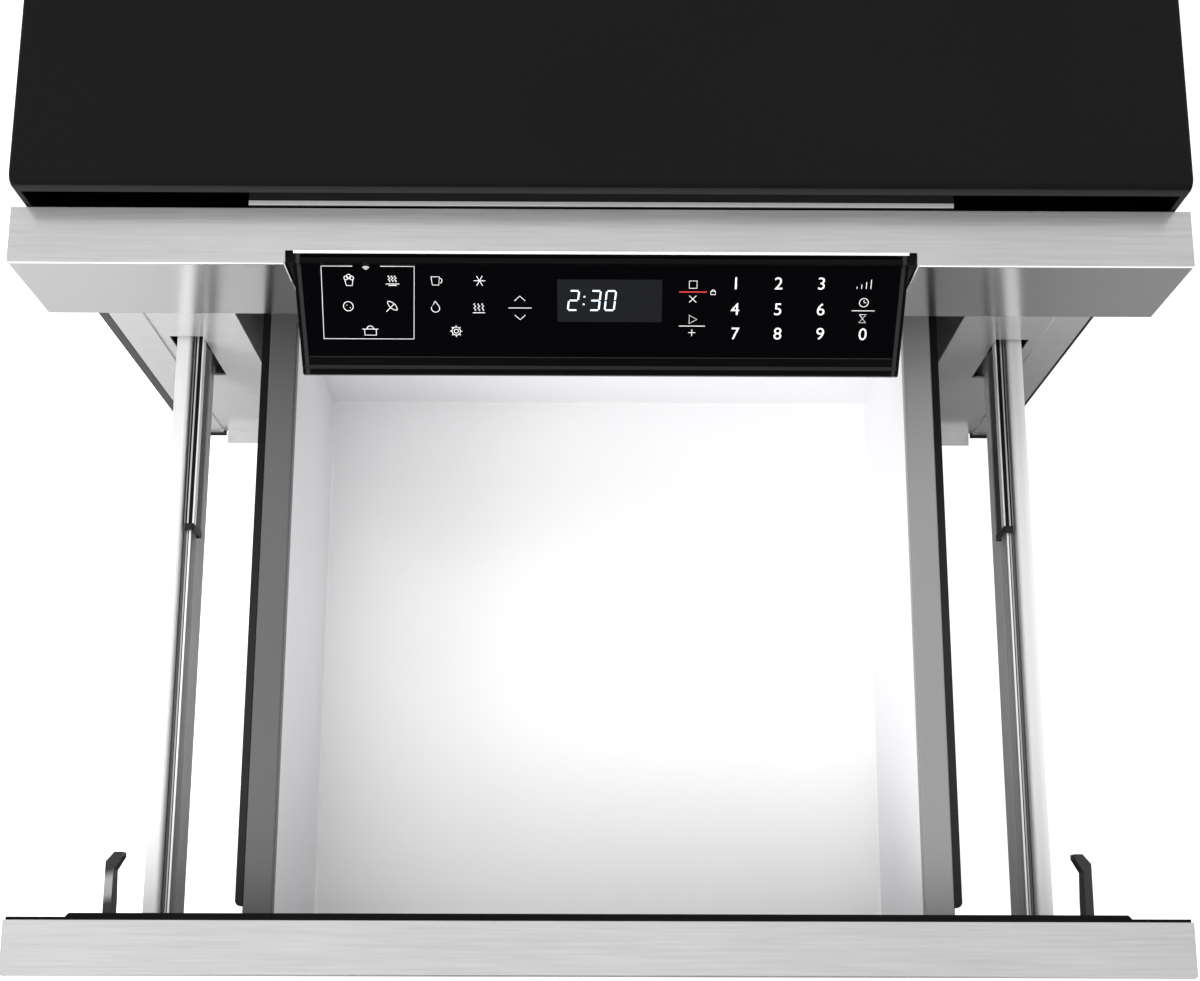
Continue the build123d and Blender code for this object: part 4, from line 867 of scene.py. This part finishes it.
def consoleStrip(name, t, finish):
    # strip along the sloping front, between two distances down the slope
    middle = t.get("middle", 0)
    bm = roundedBox((-t["x"], -t["s"][1], 0), (t["x"], -t["s"][0], t["lift"]), t["round"])
    bmesh.ops.transform(bm, matrix=onConsole(middle, 0), verts=bm.verts)
    addPiece(name, bm, finish, "chassis")


def boxStrip(name, t, finish, way):
    ends = sorted((way * t["x"][0], way * t["x"][1]))
    low, high = zip(ends, t["y"], t["z"])
    bm = roundedBox(low, high, t["round"])
    bmesh.ops.scale(bm, vec=(mm, mm, mm), verts=bm.verts)
    addPiece(name, bm, finish, "chassis")


def makeTrims(t):
    # the light tone of the console edge trim is a painted highlight along the console's top edge
    consoleStrip("console_edge_trim", t["consoleEdge"], made["bright_edge"])
    # the glass bead is a real thin bead and the nose line a thin strip; both are lighter than the
    # moulding, a painted highlight on its edge and rounded nose
    consoleStrip("glass_bead", t["glassBead"], made["soft_black"])
    consoleStrip("nose_line", t["noseLine"], made["soft_black"])
    consoleStrip("display_pane", t["displayPane"], made["display_window"])
    # painted highlight: a dimmer light strip along the lower edge of the vent panel
    boxStrip("vent_panel_edge", t["ventEdge"], made["dull_edge"], 1)
    # painted highlight: a grey strip on the black case's left front edge
    boxStrip("case_edge", t["caseEdge"], made["edge_black"], 1)
    for side, way in (("left", -1), ("right", 1)):
        # painted highlights along the band's front fold and along the edges of the console cut
        boxStrip("fold_line_" + side, t["foldLine"], made["bright_edge"], way)
        boxStrip("cut_line_" + side, t["cutLine"], made["bright_edge"], way)


makeTrims(trims)
print("trims made")

# caps on the front ends of the middle slides, and a bead of sealant round the tray, in mm
slideStop = {
    "reach": 0.4,           # in front of the slide
    "grip": 5.0,            # along it
    "wall": 1.6,            # thickness of the web
    "shelf": 1.8,           # and of the two flanges
    "over": 0.2,            # proud of the slide
    "round": 0.5,
}
trayBead = {
    "into": 1.0,            # past the tray's edge, into the wall
    "tight": 0.8,           # corner radius there
    "tall": 1.6,            # up the wall, over the tray
    "sunk": 1.5,            # and under the tray's face
    "width": 2.4,           # half of it stands on the tray
    "corner": 9.0,          # corner radius of the foot
    "foot": 0.05,           # height of its thin edge over the tray
    "steps": 8,
}


def makeSlideStops(s):
    # each cap is a thin channel over the end of the middle member, with its web towards the drawer
    for side, way in (("left", 1), ("right", -1)):
        low, high = [[v / mm for v in corner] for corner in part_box("slide_middle_" + side)]
        front, back = low[1] - s["reach"], low[1] + s["grip"]
        under, top = low[2] - s["over"], high[2] + s["over"]
        sides = (low[0], high[0]) if way == 1 else (high[0], low[0])
        near, web = [x + way * s["over"] for x in sides]
        inside = web - way * s["wall"]
        bm = bmesh.new()
        walls = (near, top - s["shelf"], top), (near, under, under + s["shelf"]), (inside, under, top)
        for x, lowZ, highZ in walls:
            ends = sorted((x, web))
            wall = roundedBox((ends[0], front, lowZ), (ends[1], back, highZ), s["round"])
            mesh = bpy.data.meshes.new("wall")
            wall.to_mesh(mesh)
            wall.free()
            bm.from_mesh(mesh)
            bpy.data.meshes.remove(mesh)
        bmesh.ops.scale(bm, vec=(mm, mm, mm), verts=bm.verts)
        addPiece("slide_stop_" + side, bm, made["soft_black"], "middle_slides")


def roundedLoop(low, high, grow, radius, steps):
    # corner points of a rectangle with round corners, in mm
    inset = radius - grow
    middles = [(high[0] - inset, high[1] - inset, 0), (low[0] + inset, high[1] - inset, 90),
               (low[0] + inset, low[1] + inset, 180), (high[0] - inset, low[1] + inset, 270)]
    points = []
    for x, y, turn in middles:
        points += arcPoints(x, y, radius, turn, turn + 90, steps)
    return points


def makeTrayBead(b):
    # three-cornered bead that closes the gap between the glass ceramic and the walls
    low, high = [[v / mm for v in corner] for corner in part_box("floor_tray")]
    bm = bmesh.new()
    loops = []
    corners = [
        (b["into"], b["tight"], b["tall"]),
        (-b["width"] / 2, b["corner"], b["foot"]),
        (b["into"], b["tight"], -b["sunk"]),
    ]
    for grow, radius, z in corners:
        points = roundedLoop(low, high, grow, radius, b["steps"])
        verts = [bm.verts.new((x * mm, y * mm, (high[2] + z) * mm)) for x, y in points]
        loops.append([bm.edges.new((verts[i - 1], verts[i])) for i in range(len(verts))])
    for first, second in ((0, 1), (1, 2), (2, 0)):
        bmesh.ops.bridge_loops(bm, edges=loops[first] + loops[second])
    bmesh.ops.recalc_face_normals(bm, faces=bm.faces)
    addPiece("tray_sealant", bm, made["floor_ceramic"], "drawer")


makeSlideStops(slideStop)
makeTrayBead(trayBead)
print("slide stops and tray sealant made")


# pale floor
def makeFloor(s):
    bm = bmesh.new()
    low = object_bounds()[0].z - s["floorGap"]
    bmesh.ops.create_grid(bm, size=s["floorSize"] / 2, matrix=Matrix.Translation((0, 0, low)))
    finish = bpy.data.materials.new("floor_paper")
    finish.use_nodes = True
    tree = finish.node_tree
    shader = tree.nodes["Principled BSDF"]
    shader.inputs["Roughness"].default_value = s["floorRough"]
    coords = tree.nodes.new("ShaderNodeTexCoord")
    noise = tree.nodes.new("ShaderNodeTexNoise")
    noise.inputs["Scale"].default_value = s["floorGrain"]
    side = tree.nodes.new("ShaderNodeSeparateXYZ")
    fall = tree.nodes.new("ShaderNodeMapRange")
    fall.inputs["From Min"].default_value, fall.inputs["From Max"].default_value = s["floorSpan"]
    fall.inputs["To Min"].default_value, fall.inputs["To Max"].default_value = s["floorTones"]
    tone = tree.nodes.new("ShaderNodeMix")
    tone.inputs["Factor"].default_value = s["floorMottle"]
    seen = tree.nodes.new("ShaderNodeLightPath")
    glow = tree.nodes.new("ShaderNodeMath")
    glow.operation = "MULTIPLY"
    glow.inputs[1].default_value = s["floorGlow"]
    tree.links.new(coords.outputs["Object"], noise.inputs["Vector"])
    tree.links.new(coords.outputs["Object"], side.inputs["Vector"])
    tree.links.new(side.outputs["X"], fall.inputs["Value"])
    tree.links.new(fall.outputs["Result"], tone.inputs["A"])
    tree.links.new(noise.outputs["Fac"], tone.inputs["B"])
    tree.links.new(tone.outputs["Result"], shader.inputs["Base Color"])
    shader.inputs["Emission Color"].default_value = (1, 1, 1, 1)
    tree.links.new(seen.outputs["Is Camera Ray"], glow.inputs[0])
    tree.links.new(glow.outputs["Value"], shader.inputs["Emission Strength"])
    addPiece("floor", bm, finish, None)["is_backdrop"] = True


makeFloor(studio)
print("floor made")
